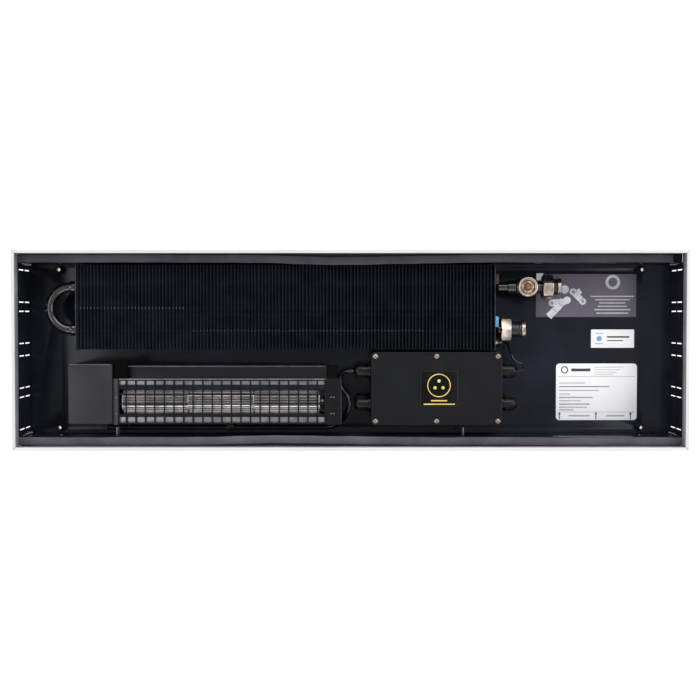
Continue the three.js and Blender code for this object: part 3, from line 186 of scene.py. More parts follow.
# %% The shared start of a finish
def finish(name, clean, dusty, roughness, grain_mm, relief_mm, metallic=0.0, specular=0.5, stain_mm=70):
    """A Principled material between two colours, with a grain of that size and height."""
    material = bpy.data.materials.new(name)
    material.use_nodes = True
    tree = material.node_tree
    tree.nodes.clear()
    place = add(tree, "ShaderNodeTexCoord", name="place").outputs["Object"]
    stain_size = {"Vector": place, "Scale": 1 / (stain_mm * MM), "Detail": 6.0}
    stain = add(tree, "ShaderNodeTexNoise", stain_size, name="stain")
    tint = add(tree, "ShaderNodeValToRGB", {"Fac": stain.outputs["Fac"]}, name="tint")
    low, high = tint.color_ramp.elements
    low.position, low.color = 0.35, linear(clean)
    high.position, high.color = 0.68, linear(dusty)
    grain_size = {"Vector": place, "Scale": 1 / (grain_mm * MM), "Detail": 2.0}
    grain = add(tree, "ShaderNodeTexNoise", grain_size, name="grain")
    levels = {"Value": stain.outputs["Fac"], "From Min": 0.3, "From Max": 0.7}
    levels.update({"To Min": roughness * 0.85, "To Max": roughness * 1.15})
    gloss = add(tree, "ShaderNodeMapRange", levels, name="gloss")
    relief = {"Height": grain.outputs["Fac"], "Distance": relief_mm * MM}
    bump = add(tree, "ShaderNodeBump", relief, name="bump")
    surface = {"Base Color": tint.outputs["Color"], "Roughness": gloss.outputs["Result"]}
    surface.update({"Normal": bump.outputs["Normal"], "Metallic": metallic, "Specular IOR Level": specular})
    shader = add(tree, "ShaderNodeBsdfPrincipled", surface, name="shader")
    add(tree, "ShaderNodeOutputMaterial", {"Surface": shader.outputs[0]})
    return material


# %% [markdown]
# ### Specks and streaks
# A coated sheet gathers pale specks of dust, and rolled or turned metal shows fine lines along the way it
# was worked. Both are laid over the shared start: specks lighten the colour at sparse points of a cell
# texture, and streaks are a noise drawn out along one axis.

# %% Specks and streaks
def speckle(material, colour, spacing_mm, size_share, amount):
    """Sparse specks of a colour over the finish: one in some cells of that spacing."""
    tree = material.node_tree
    nodes = tree.nodes
    cells = {"Vector": nodes["place"].outputs["Object"], "Scale": 1 / (spacing_mm * MM)}
    speck = add(tree, "ShaderNodeTexVoronoi", cells)
    edge = {"Value": speck.outputs["Distance"], "From Min": size_share, "From Max": size_share * 0.4}
    near = add(tree, "ShaderNodeMapRange", edge)
    chosen = add(tree, "ShaderNodeSeparateColor", {"Color": speck.outputs["Color"]})
    rare = add(tree, "ShaderNodeMath", {0: chosen.outputs[0], 1: 0.72}, operation="GREATER_THAN")
    mask = add(tree, "ShaderNodeMath", {0: near.outputs[0], 1: rare.outputs[0]}, operation="MULTIPLY")
    share = add(tree, "ShaderNodeMath", {0: mask.outputs[0], 1: amount}, operation="MULTIPLY")
    colours = {0: share.outputs[0], 6: nodes["tint"].outputs["Color"], 7: linear(colour)}
    mix = add(tree, "ShaderNodeMix", colours, data_type="RGBA")
    tree.links.new(mix.outputs[2], nodes["shader"].inputs["Base Color"])
    return material


def streak(material, scale, strength):
    """Fine lines: the grain's noise is drawn out by a scale along each axis."""
    tree = material.node_tree
    nodes = tree.nodes
    drawn = {"Vector": nodes["place"].outputs["Object"], "Scale": scale}
    mapping = add(tree, "ShaderNodeMapping", drawn)
    tree.links.new(mapping.outputs[0], nodes["grain"].inputs["Vector"])
    nodes["bump"].inputs["Strength"].default_value = strength
    return material


# %% The blacks
# Polyester powder coat, baked: an orange-peel skin about 1 mm across. It has a soft gloss.
powder_black = finish("powder_black", "#13161e", "#1e222e", 0.17, 1.1, 0.003, specular=0.14)
speckle(powder_black, "#5a5c62", 9, 0.06, 0.5)
# The same coat on the motor's cover, a shade greyer from handling.
cover_black = finish("cover_black", "#1a1a1f", "#23232a", 0.46, 0.9, 0.014, specular=0.32, stain_mm=40)
speckle(cover_black, "#77787c", 7, 0.06, 0.5)
# The fan's left plate, whose flange shows beside the cover, is a shade paler again: painted light, to lift
# the flange out of the shade it lies in.
flange_lit_grey = finish("flange_lit_grey", "#2e2f35", "#3a3b41", 0.46, 0.9, 0.014, specular=0.4, stain_mm=40)
# A paler coat on the cover's rear fold, and on the wall tabs: painted highlight, where the light from the
# rear would catch them.
pale_edge_highlight = finish("pale_edge_highlight", "#6e6f74", "#8c8d92", 0.3, 0.9, 0.008, specular=0.5, stain_mm=14)
# A darker, duller batch of it on the fan's roof and right plate.
roof_black = finish("roof_black", "#08090c", "#0f1015", 0.42, 1.1, 0.01, specular=0.17)
speckle(roof_black, "#4c4e54", 8, 0.06, 0.5)
# Dipped matt coat on the fins and their plates: thin, faintly blue, no skin of its own.
dipped_black = finish("dipped_black", "#181b21", "#21252c", 0.6, 0.5, 0.01, specular=0.05, stain_mm=25)
# Moulded ABS with a spark-eroded grain of about 0.6 mm.
abs_black = finish("abs_black", "#0a0b10", "#101117", 0.5, 0.6, 0.03, specular=0.16)
speckle(abs_black, "#5c5d60", 8, 0.05, 0.5)
# Moulded polyamide of the glands and the clip, smoother than the box.
nylon_black = finish("nylon_black", "#08080a", "#101013", 0.28, 0.8, 0.01, specular=0.25, stain_mm=12)
# Cut rubber block, dull and open. The same black is painted shade on the front of the pipe markers.
rubber_and_shade_black = finish("rubber_and_shade_black", "#020203", "#060607", 0.85, 0.7, 0.05, specular=0.06, stain_mm=15)
# Soft PVC sheath of the leads.
sheath_black = finish("sheath_black", "#0d0e12", "#191a1f", 0.3, 1.5, 0.01, specular=0.5, stain_mm=18)
# Black zinc on the rivet nuts.
zinc_black = finish("zinc_black", "#060607", "#0e0e10", 0.45, 0.5, 0.01, specular=0.2, stain_mm=10)
# Black paint on the copper tube and the tee, glossier than the dip.
tube_black = finish("tube_black", "#0c0d11", "#17191e", 0.15, 1.4, 0.003, specular=0.7, stain_mm=18)
# The dark sleeve and grooves of the tails.
dark_sleeve = finish("dark_sleeve", "#0b0b0d", "#17161a", 0.4, 0.6, 0.01, stain_mm=8)
print("blacks:", len(bpy.data.materials))

# %% [markdown]
# ### Metals and pale parts
# Galvanised sheet is bright grey with crystals of zinc a few millimetres wide. The unions are brass with
# a nickel plate, which reads as warm silver. The impeller is rolled aluminium, the brightest thing in the
# trough. A metal keeps the default IOR, because its colour comes from metallic reflection.

# %% Metals
galvanised = finish("galvanised", "#6a686a", "#848183", 0.42, 0.5, 0.006, metallic=0.85, stain_mm=9)
streak(galvanised, (0.06, 1.0, 1.0), 0.8)
nickel = finish("nickel", "#9a8c84", "#c9bab1", 0.28, 0.35, 0.004, metallic=1.0, stain_mm=8)
streak(nickel, (1.0, 0.1, 0.1), 0.7)
screw_nickel = finish("screw_nickel", "#80726c", "#a5978f", 0.3, 0.4, 0.006, metallic=1.0, stain_mm=3)
turned_brass = finish("turned_brass", "#8c6a52", "#b08d74", 0.28, 0.3, 0.004, metallic=1.0, stain_mm=4)
aged_brass = finish("aged_brass", "#75604f", "#a18a76", 0.35, 0.3, 0.006, metallic=0.9, stain_mm=3)
blade_aluminium = finish("blade_aluminium", "#aea8a9", "#d4cccd", 0.4, 0.6, 0.006, metallic=1.0, stain_mm=12)
streak(blade_aluminium, (0.05, 1.0, 1.0), 0.6)
bright_zinc = finish("bright_zinc", "#8b8c90", "#b0b1b4", 0.33, 0.4, 0.006, metallic=1.0, stain_mm=6)
disc_aluminium = finish("disc_aluminium", "#9b9da2", "#b6b8bd", 0.5, 0.5, 0.004, metallic=1.0, stain_mm=6)
# A pale facet on the fin hems: painted highlight, a dotted line of shine.
hem_highlight = finish("hem_highlight", "#2b3036", "#4a5056", 0.5, 0.4, 0.004, specular=0.2, stain_mm=7)
rust_brown = finish("rust_brown", "#2a1510", "#4a2a20", 0.5, 0.4, 0.01, metallic=0.3, stain_mm=2)
# A pale metal finish on the right fan plate's edge: painted highlight.
metal_edge_highlight = finish("metal_edge_highlight", "#5c6268", "#8b9197", 0.4, 0.3, 0.004, metallic=0.8, stain_mm=6)
# A paler coat on the top faces of the exchanger's end plates: painted highlight.
plate_top_highlight = finish("plate_top_highlight", "#22252b", "#3b3f45", 0.5, 0.3, 0.004, specular=0.2, stain_mm=9)

# %% Paints, plastics and films
# White polyester powder coat of the frame, satin, with the same skin as the black.
powder_white = finish("powder_white", "#d2d2d5", "#dddde0", 0.36, 1.1, 0.008, stain_mm=120)
# The frame's inner leg is painted grey: painted shade, for the shade of the black trough that it faces.
rail_shade_grey = finish("rail_shade_grey", "#8b898e", "#a5a3a8", 0.5, 1.1, 0.01, stain_mm=35)
# Cellular tape: open foam whose cells show as a fine mottle.
foam_grey = finish("foam_grey", "#4e4b52", "#65616a", 0.95, 0.9, 0.15, specular=0.2, stain_mm=45)
# A darker copy of the same foam for the rear strip: painted shade.
foam_shaded = finish("foam_shaded", "#424046", "#56525a", 0.95, 0.9, 0.15, specular=0.2, stain_mm=45)
speckle(foam_grey, "#a5a1a8", 4, 0.12, 0.7)
speckle(foam_shaded, "#96929a", 4, 0.12, 0.7)
red_plastic = finish("red_plastic", "#2a0b10", "#4a141d", 0.4, 0.8, 0.01, stain_mm=8)
blue_plastic = finish("blue_plastic", "#3f8fc4", "#7cbce4", 0.4, 0.8, 0.01, stain_mm=8)
board_green = finish("board_green", "#174a2d", "#205c3a", 0.35, 0.6, 0.01, stain_mm=20)
terminal_grey = finish("terminal_grey", "#b9bab8", "#cbccca", 0.45, 0.7, 0.01, stain_mm=15)
# Printed polyester films: flat, with the faintest wave from being pressed on by hand.
film_white = finish("film_white", "#f4f4f9", "#fcfcfe", 0.4, 14, 0.05, stain_mm=60)
film_mauve = finish("film_mauve", "#5a5362", "#675f70", 0.45, 14, 0.06, stain_mm=50)
film_black = finish("film_black", "#050506", "#0a0a0c", 0.3, 12, 0.05, specular=0.14, stain_mm=40)
ink_grey = finish("ink_grey", "#8d8d92", "#a3a3a8", 0.5, 2, 0.002, stain_mm=20)
ink_dark = finish("ink_dark", "#2a2b30", "#3a3b40", 0.5, 2, 0.002, stain_mm=20)
ink_pale = finish("ink_pale", "#b6b2bb", "#d6d3da", 0.5, 2, 0.002, stain_mm=12)
ink_white = finish("ink_white", "#c4c3cd", "#f0f0f6", 0.4, 2, 0.002, stain_mm=14)
ink_blue = finish("ink_blue", "#6f9fd0", "#8db6de", 0.5, 2, 0.002, stain_mm=20)
ink_yellow = finish("ink_yellow", "#d9b94a", "#f0dc8a", 0.5, 2, 0.002, stain_mm=12)
print("finishes:", len(bpy.data.materials))

# %% [markdown]
# ## Tools for shapes
# A solid from the frame has knife-sharp edges, and nothing real has: a folded sheet, a moulded lid and a
# sawn block all end in a small round that catches the light. So most pieces here are a copy of their
# solid with its loose triangles merged and its edges bevelled. A piece that is turned on a lathe, on the
# real object, is spun from its profile, because facets would show in its shine.

# %% Piece helpers
def show(name, mesh, *materials):
    """A new object with that mesh and those finishes."""
    for material in materials:
        mesh.materials.append(material)
    piece = bpy.data.objects.new(name, mesh)
    bpy.context.scene.collection.objects.link(piece)
    return piece


def frozen(piece):
    """The piece with what its modifiers make as its own plain mesh."""
    graph = bpy.context.evaluated_depsgraph_get()
    mesh = bpy.data.meshes.new_from_object(piece.evaluated_get(graph))
    old = piece.data
    piece.modifiers.clear()
    piece.data = mesh
    bpy.data.meshes.remove(old)
    return piece


def shaded(piece, degrees=35):
    """Smooth shading that breaks where two faces meet at more than that angle."""
    piece.data.shade_smooth()
    piece.data.set_sharp_from_angle(angle=math.radians(degrees))
    return piece


def settle(piece, slot, *nodes, body="root"):
    """The piece rides on its body and stands for those nodes. The slot is not used."""
    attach(piece, body)
    if nodes:
        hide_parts(*nodes)
    print(f"{piece.name}: {len(piece.data.polygons)} faces")
    return piece


def dress(finish_material, *nodes):
    """Gives solids that stay as they are their finish."""
    for node in nodes:
        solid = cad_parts[node]
        solid.data.materials.clear()
        solid.data.materials.append(finish_material)


def corners(node):
    """The lowest and highest corner of a solid, in millimetres."""
    low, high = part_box(node)
    return low / MM, high / MM


# %% Soft edges and painted faces
def softened(node, edge_mm, *materials, segments=2):
    """A copy of a solid with its edges broken by a small round."""
    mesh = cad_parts[node].data.copy()
    mesh.materials.clear()
    work = bmesh.new()
    work.from_mesh(mesh)
    bmesh.ops.remove_doubles(work, verts=work.verts, dist=0.002 * MM)
    bmesh.ops.dissolve_limit(work, angle_limit=math.radians(0.5), verts=work.verts, edges=work.edges)
    work.to_mesh(mesh)
    work.free()
    piece = show(f"{node}_fine", mesh, *materials)
    edge = piece.modifiers.new("edge", "BEVEL")
    edge.width = edge_mm * MM
    edge.segments = segments
    edge.limit_method = "ANGLE"
    edge.angle_limit = math.radians(30)
    return shaded(frozen(piece))


def paint(piece, index, chosen):
    """Gives another finish to the faces that a test of their centre, in mm, and their normal picks."""
    for face in piece.data.polygons:
        if chosen(face.center / MM, face.normal):
            face.material_index = index


# %% Meshes from points, profiles and outlines
def filled(work):
    """A mesh from a bmesh whose doubles are merged and whose faces point outwards."""
    bmesh.ops.remove_doubles(work, verts=work.verts, dist=0.001 * MM)
    bmesh.ops.recalc_face_normals(work, faces=work.faces)
    mesh = bpy.data.meshes.new("made")
    work.to_mesh(mesh)
    work.free()
    return mesh


def turned(profile, place, sides, upright=False):
    """A mesh spun from (along, radius) points in mm, about a line along X, or along Z if upright."""
    work = bmesh.new()
    rings = []
    for along, radius in profile:
        ring = []
        for i in range(sides):
            angle = 2 * math.pi * i / sides
            across = (radius * math.cos(angle), radius * math.sin(angle))
            point = (*across, along) if upright else (along, *across)
            ring.append(work.verts.new((Vector(place) + Vector(point)) * MM))
        rings.append(ring)
    for near, far in zip(rings, rings[1:]):
        for i in range(sides):
            j = (i + 1) % sides
            work.faces.new((near[i], near[j], far[j], far[i]))
    bmesh.ops.dissolve_degenerate(work, dist=0.0005 * MM, edges=work.edges)
    return filled(work)


def along_from(start, section):
    """A profile's points, with their way along counted from a start."""
    return [(start + along, radius) for along, radius in section]


def extruded(outlines, low, high, rise=0.0):
    """A mesh of flat outlines drawn up between two heights in mm, each higher than the last by a rise."""
    work = bmesh.new()
    for outline in outlines:
        high += rise
        base = work.faces.new([work.verts.new((x * MM, y * MM, low * MM)) for x, y in outline])
        drawn = bmesh.ops.extrude_face_region(work, geom=[base])["geom"]
        tops = [v for v in drawn if isinstance(v, bmesh.types.BMVert)]
        bmesh.ops.translate(work, verts=tops, vec=(0, 0, (high - low) * MM))
    return filled(work)


def boxes(*sizes):
    """A mesh of separate blocks, each x0, x1, y0, y1, z0, z1 in mm."""
    work = bmesh.new()
    for x0, x1, y0, y1, z0, z1 in sizes:
        made = bmesh.ops.create_cube(work, size=1)["verts"]
        for v in made:
            v.co.x = (x0 if v.co.x < 0 else x1) * MM
            v.co.y = (y0 if v.co.y < 0 else y1) * MM
            v.co.z = (z0 if v.co.z < 0 else z1) * MM
    mesh = bpy.data.meshes.new("made")
    work.to_mesh(mesh)
    work.free()
    return mesh


def with_edges(piece, edge_mm, segments=2):
    """Breaks the edges of a piece that is made here, and shades it."""
    edge = piece.modifiers.new("edge", "BEVEL")
    edge.width = edge_mm * MM
    edge.segments = segments
    return shaded(frozen(piece))


def joined(name, *pieces):
    """One piece from several, which keep their finishes."""
    work = bmesh.new()
    materials = []
    for piece in pieces:
        offset = len(materials)
        first = len(work.faces)
        work.from_mesh(piece.data)
        work.faces.ensure_lookup_table()
        for face in work.faces[first:]:
            face.material_index += offset
        materials.extend(piece.data.materials)
        bpy.data.objects.remove(piece)
    mesh = bpy.data.meshes.new(name)
    work.to_mesh(mesh)
    work.free()
    return show(name, mesh, *materials)


# %% [markdown]
# ## Geometry Nodes
# Fins, blades, ribs, wires and screws repeat, and a lead follows a path. Geometry Nodes say such a rule
# once. Four small trees do it here: a row with a little seeded disorder, a ring about an axis along X,
# copies of one shape at given points, and a round section drawn along a path. Every tree ends by making
# its instances real and setting their finish, and its result is kept as a plain mesh.

# %% Tools for node trees
def geometry_tree(name, sockets):
    """A tree with a mesh in and out and named inputs, and the outputs of its input node."""
    tree = bpy.data.node_groups.new(name, "GeometryNodeTree")
    tree.interface.new_socket("Mesh", in_out="INPUT", socket_type="NodeSocketGeometry")
    for title, kind in {**sockets, "Finish": "Material"}.items():
        tree.interface.new_socket(title, in_out="INPUT", socket_type=f"NodeSocket{kind}")
    tree.interface.new_socket("Mesh", in_out="OUTPUT", socket_type="NodeSocketGeometry")
    return tree, add(tree, "NodeGroupInput").outputs


def close_tree(tree, geometry, finish_socket):
    """Ends a tree: the instances become real and take their finish."""
    real = add(tree, "GeometryNodeRealizeInstances", {"Geometry": geometry})
    coats = {"Geometry": real.outputs[0], "Material": finish_socket}
    coated = add(tree, "GeometryNodeSetMaterial", coats)
    add(tree, "NodeGroupOutput", {"Mesh": coated.outputs[0]})


def grown(piece, tree, values):
    """Runs a tree on a piece with its inputs set by their identifiers, and keeps the result as its mesh."""
    modifier = piece.modifiers.new(tree.name, "NODES")
    modifier.node_group = tree
    for item in tree.interface.items_tree:
        if item.item_type == "SOCKET" and item.in_out == "INPUT" and item.name in values:
            modifier[item.identifier] = values[item.name]
    return frozen(piece)


# %% A row
row_sizes = {"Count": "Int", "Start": "Vector", "Step": "Vector"}
row_sizes.update({"Sway": "Vector", "Turn": "Vector", "Seed": "Int"})
row, given = geometry_tree("row", row_sizes)
steps = {"Count": given["Count"], "Start Location": given["Start"], "Offset": given["Step"]}
line = add(row, "GeometryNodeMeshLine", steps, mode="OFFSET")
spread = []
for extent in ("Sway", "Turn"):
    least = add(row, "ShaderNodeVectorMath", {0: given[extent], 1: (-1, -1, -1)}, operation="MULTIPLY")
    limits = {"Min": least.outputs[0], "Max": given[extent], "Seed": given["Seed"]}
    spread.append(add(row, "FunctionNodeRandomValue", limits, data_type="FLOAT_VECTOR").outputs["Value"])
moved = add(row, "GeometryNodeSetPosition", {"Geometry": line.outputs[0], "Offset": spread[0]})
copies = {"Points": moved.outputs[0], "Instance": given["Mesh"], "Rotation": spread[1]}
placed = add(row, "GeometryNodeInstanceOnPoints", copies)
close_tree(row, placed.outputs[0], given["Finish"])

# %% A ring about an axis along X
ring, given = geometry_tree("ring", {"Count": "Int", "Centre": "Vector", "First": "Float"})
still = {"Count": given["Count"], "Start Location": given["Centre"], "Offset": (0, 0, 0)}
hub = add(ring, "GeometryNodeMeshLine", still, mode="OFFSET")
share = add(ring, "ShaderNodeMath", {0: 2 * math.pi, 1: given["Count"]}, operation="DIVIDE")
index = add(ring, "GeometryNodeInputIndex")
part = {0: index.outputs[0], 1: share.outputs[0], 2: given["First"]}
angle = add(ring, "ShaderNodeMath", part, operation="MULTIPLY_ADD")
about = add(ring, "ShaderNodeCombineXYZ", {"X": angle.outputs[0]})
copies = {"Points": hub.outputs[0], "Instance": given["Mesh"], "Rotation": about.outputs[0]}
placed = add(ring, "GeometryNodeInstanceOnPoints", copies)
close_tree(ring, placed.outputs[0], given["Finish"])

# %% Copies at points
points, given = geometry_tree("points", {"Shape": "Object"})
shape = add(points, "GeometryNodeObjectInfo", {"Object": given["Shape"]})
copies = {"Points": given["Mesh"], "Instance": shape.outputs["Geometry"]}
placed = add(points, "GeometryNodeInstanceOnPoints", copies)
close_tree(points, placed.outputs[0], given["Finish"])

# %% A round section along a path
tube, given = geometry_tree("tube", {"Radius": "Float", "Sides": "Int", "Smooth": "Int"})
path = add(tube, "GeometryNodeMeshToCurve", {"Mesh": given["Mesh"]})
bent = add(tube, "GeometryNodeCurveSplineType", {"Curve": path.outputs[0]}, spline_type="CATMULL_ROM")
fine = {"Geometry": bent.outputs[0], "Resolution": given["Smooth"]}
fine = add(tube, "GeometryNodeSetSplineResolution", fine)
section = {"Resolution": given["Sides"], "Radius": given["Radius"]}
section = add(tube, "GeometryNodeCurvePrimitiveCircle", section)
wall = {"Curve": fine.outputs[0], "Profile Curve": section.outputs[0], "Fill Caps": True}
wall = add(tube, "GeometryNodeCurveToMesh", wall)
close_tree(tube, wall.outputs[0], given["Finish"])
print("trees:", [group.name for group in bpy.data.node_groups if group.type == "GEOMETRY"])


# %% Using the trees
LONGEST_PART = 8


def in_row(piece, material, count, start, step, sway=(0, 0, 0), turn=(0, 0, 0), seed=1):
    """Copies of a piece in a row. Places are in mm and the turn in radians."""
    values = {"Count": count, "Start": Vector(start) * MM, "Step": Vector(step) * MM, "Seed": seed}
    values.update({"Sway": Vector(sway) * MM, "Turn": turn, "Finish": material})
    return shaded(grown(piece, row, values))


def in_ring(piece, material, count, centre, first=0.0):
    """Copies of a piece turned about an axis along X through a centre in mm."""
    values = {"Count": count, "Centre": Vector(centre) * MM, "First": first, "Finish": material}
    return shaded(grown(piece, ring, values))


def at_points(name, shape, material, places):
    """Copies of a shape, which is used up, at places in mm."""
    mesh = bpy.data.meshes.new(name)
    mesh.from_pydata([Vector(place) * MM for place in places], [], [])
    piece = grown(show(name, mesh), points, {"Shape": shape, "Finish": material})
    bpy.data.objects.remove(shape)
    return shaded(piece)


def spaced(route):
    """The route with its long stretches split, so that a curve through it can't swing out where they end."""
    close = [Vector(route[0])]
    for place in route[1:]:
        start, end = close[-1], Vector(place)
        length = (end - start).length
        parts = math.ceil(length / LONGEST_PART) if length > 3 * LONGEST_PART else 1
        close += [start.lerp(end, i / parts) for i in range(1, parts + 1)]
    return close


def along_path(name, material, route, radius_mm, sides=20, smooth=6):
    """A round bar or lead along a route in mm."""
    route = spaced(route)
    mesh = bpy.data.meshes.new(name)
    stretches = [(i, i + 1) for i in range(len(route) - 1)]
    mesh.from_pydata([Vector(place) * MM for place in route], stretches, [])
    values = {"Radius": radius_mm * MM, "Sides": sides, "Smooth": smooth, "Finish": material}
    return shaded(grown(show(name, mesh), tube, values))


# %% [markdown]
# ## The trough
# The casing is one sheet, folded up into walls with a ledge for the grille, and closed by two end walls.
# The end walls have knock-out panels for the pipes, cut round by narrow slots. Softened copies of the
# solids do: the folds get a small round, and the powder coat does the rest.

# %% Trough and end walls
settle(softened("casing_trough", 0.3, powder_black), "black_powder_coat", "casing_trough")
for side in ("left", "right"):
    settle(softened(f"end_wall_{side}", 0.15, powder_black), "black_powder_coat", f"end_wall_{side}")

# %% [markdown]
# The end walls stand on the floor sheet's ends. A thin bead of sealant, painted over, closes each of
# these seams.

# %% Sealed seams
SEAM_INSET = 14
SEAM_LAP = 0.15
SEAM_HEIGHTS = (0.1, 0.95)
trough_low, trough_high = corners("casing_trough")
seam_ends = (trough_low.y + SEAM_INSET, trough_high.y - SEAM_INSET)
seams = []
for end in ("left", "right"):
    wall_low, wall_high = corners(f"end_wall_{end}")
    inner = wall_high.x if end == "left" else wall_low.x
    edge = trough_low.x if end == "left" else trough_high.x
    x0, x1 = sorted((inner, edge))
    seams.append((x0 - SEAM_LAP, x1 + SEAM_LAP, *seam_ends, *SEAM_HEIGHTS))
    print(end, "seam", round(x0, 2), round(x1, 2))
beads = with_edges(show("seam_beads", boxes(*seams), powder_black), 0.08)
settle(beads, "black_powder_coat")

# %% [markdown]
# Each levelling screw of the real heater turns in a steel rivet nut in the floor. Seen from above it is a
# dark turned ring round a bright hole, with a rolled collar.

# %% Rivet nuts
NUT_BORE = 2.2
for number in range(1, 5):
    low, high = corners(f"levelling_nut_{number}")
    middle = (low + high) / 2
    outer, bore = (high.x - low.x) / 2, NUT_BORE
    foot, top = low.z, high.z
    nut_profile = [
        (foot, bore), (foot, outer - 0.3), (foot + 0.3, outer), (foot + 1.2, outer),
        (foot + 1.5, outer - 0.5), (top - 0.8, outer - 0.5), (top, outer - 1.0), (top, bore + 0.5),
        (top - 0.5, bore), (foot, bore),
    ]  # fmt: skip
    nut_mesh = turned(nut_profile, (middle.x, middle.y, 0), 40, True)
    nut = show(f"levelling_nut_{number}_fine", nut_mesh, zinc_black)
    settle(shaded(nut), "black_powder_coat", f"levelling_nut_{number}")

# %% [markdown]
# Small lugs are pressed up from the floor near its corners, and two narrow tabs are spot-welded to the
# front wall. They are tiny, but an empty corner would look unfinished from any side.

# %% Pressed lugs and wall tabs
LUG_PLACES = [(-386, 96.5), (-385.6, -102), (379, 97.7), (378, -103)]
LUG_FOOT = 1
TAB_XS = [-286.5, 138.2]
TAB_Y, TAB_FOOT = -104.9, 20
lug = show("lug", boxes((-1.6, 1.6, -0.9, 0.9, 0, 1.6)))
lug_points = [(x, y, LUG_FOOT) for x, y in LUG_PLACES]
lugs = at_points("floor_lugs", with_edges(lug, 0.5, 3), powder_black, lug_points)
settle(lugs, "black_powder_coat")
tab = show("tab", boxes((-0.9, 0.9, 0, 9.5, 0, 14)))
tab_points = [(x, TAB_Y, TAB_FOOT) for x in TAB_XS]
# The tabs take the pale edge finish: a painted highlight on them.
tabs = at_points("wall_tabs", with_edges(tab, 0.35), pale_edge_highlight, tab_points)
settle(tabs, "black_powder_coat")

# %% [markdown]
# ## The white frame
# Four aluminium angles, mitred at the corners and powder coated white, edge the hole in the floor. Their
# inner legs stand in the shade of the trough and look grey. The softened solids get a second finish, a
# grey of painted shade, on the faces that point inwards or down.

# %% Frame rails
INWARD = {"rear": (0, -1), "front": (0, 1), "left": (1, 0), "right": (-1, 0)}
for side, (x, y) in INWARD.items():
    rail = softened(f"frame_rail_{side}", 0.25, powder_white, rail_shade_grey)
    inward = Vector((x, y, 0))
    # Painted shade: the inward and downward faces take the grey.
    paint(rail, 1, lambda centre, normal: normal.dot(inward) > 0.7 or normal.z < -0.7)
    settle(rail, "white_powder_coat", f"frame_rail_{side}")

# %% [markdown]
# ## Damping tape
# Strips of grey foam lie on both ledges, so that the grille doesn't rattle. They were stuck down by hand:
# they wander towards the fan or the fins in the middle, and their long edges aren't quite straight. Each
# is swept from a rounded section whose place shifts by a smooth bulge and a slow waver.

# %% Foam strips
STRIP_STEP = 3.0
STRIP_ROUND = 0.6
REAR_TAPE_END = 387


def tape(name, material, low, high, inward, bulge, bulge_x, bulge_reach):
    """A strip of foam from corner to corner in mm that bows inwards, by so much, round one place."""
    r = STRIP_ROUND
    section = [
        (low.y + r, low.z), (high.y - r, low.z), (high.y, low.z + r), (high.y, high.z - r),
        (high.y - r, high.z), (low.y + r, high.z), (low.y, high.z - r), (low.y, low.z + r),
    ]  # fmt: skip
    middle = (low.y + high.y) / 2
    count = round((high.x - low.x) / STRIP_STEP)
    work = bmesh.new()
    rings = []
    for i in range(count + 1):
        x = low.x + (high.x - low.x) * i / count
        bow = inward * bulge * math.exp(-(((x - bulge_x) / bulge_reach) ** 2))
        waver = 0.22 * math.sin(x / 23.0) + 0.14 * math.sin(x / 7.3 + 1.7)
        swell = 1 + 0.02 * math.sin(x / 11.0 + 0.6)
        ring_points = [(x, middle + (y - middle) * swell + bow + waver, z) for y, z in section]
        rings.append([work.verts.new(Vector(point) * MM) for point in ring_points])
    for near, far in zip(rings, rings[1:]):
        for j in range(len(section)):
            k = (j + 1) % len(section)
            work.faces.new((near[j], near[k], far[k], far[j]))
    work.faces.new(rings[0])
    work.faces.new(rings[-1])
    return shaded(show(name, filled(work), material), 50)


low, high = corners("damping_strip_rear")
# The rear strip takes the darker copy of the foam: painted shade.
rear_tape = tape("rear_tape", foam_shaded, low, Vector((REAR_TAPE_END, high.y, high.z)), -1, 3.0, 0, 95)
settle(rear_tape, "foam_tape", "damping_strip_rear")
low, high = corners("damping_strip_front")
front_tape = tape("front_tape", foam_grey, low, high, 1, 2.2, -72, 90)
settle(front_tape, "foam_tape", "damping_strip_front")

# %% [markdown]
# ## Heat exchanger
# Thin aluminium fins are pressed on two legs of a copper tube, and the whole is dipped matt black. Each
# fin is one sheet whose top edge is hemmed and whose upper part is folded aside, to stir the air. Its
# collars ride on the tube and small tabs keep the next fin off. Fins are never quite straight, so the row
# gives each a small seeded sway.

# %% Fins
FIN_PITCH = 4.13
FIN_SHEET = 0.35
FIN_HEM = 0.9
FIN_FOLD = 3.5
FOLD_PEAK_DEPTH, FOLD_FOOT_DEPTH = 5, 12
FIN_SWAY, FIN_TURN = (0.16, 0.25, 0.12), (0, 0, 0.0012)
COLLAR_WALL = 0.8
SPACER_ROWS = [96, 83, 79.5, 50.6, 42, 23.2]


def drawn_across(outline, y0, y1):
    """A mesh of an outline in X and Z, drawn along Y, in mm."""
    work = bmesh.new()
    base = work.faces.new([work.verts.new(Vector((x, y0, z)) * MM) for x, z in outline])
    drawn = bmesh.ops.extrude_face_region(work, geom=[base])["geom"]
    ends = [v for v in drawn if isinstance(v, bmesh.types.BMVert)]
    bmesh.ops.translate(work, verts=ends, vec=(0, (y1 - y0) * MM, 0))
    return filled(work)


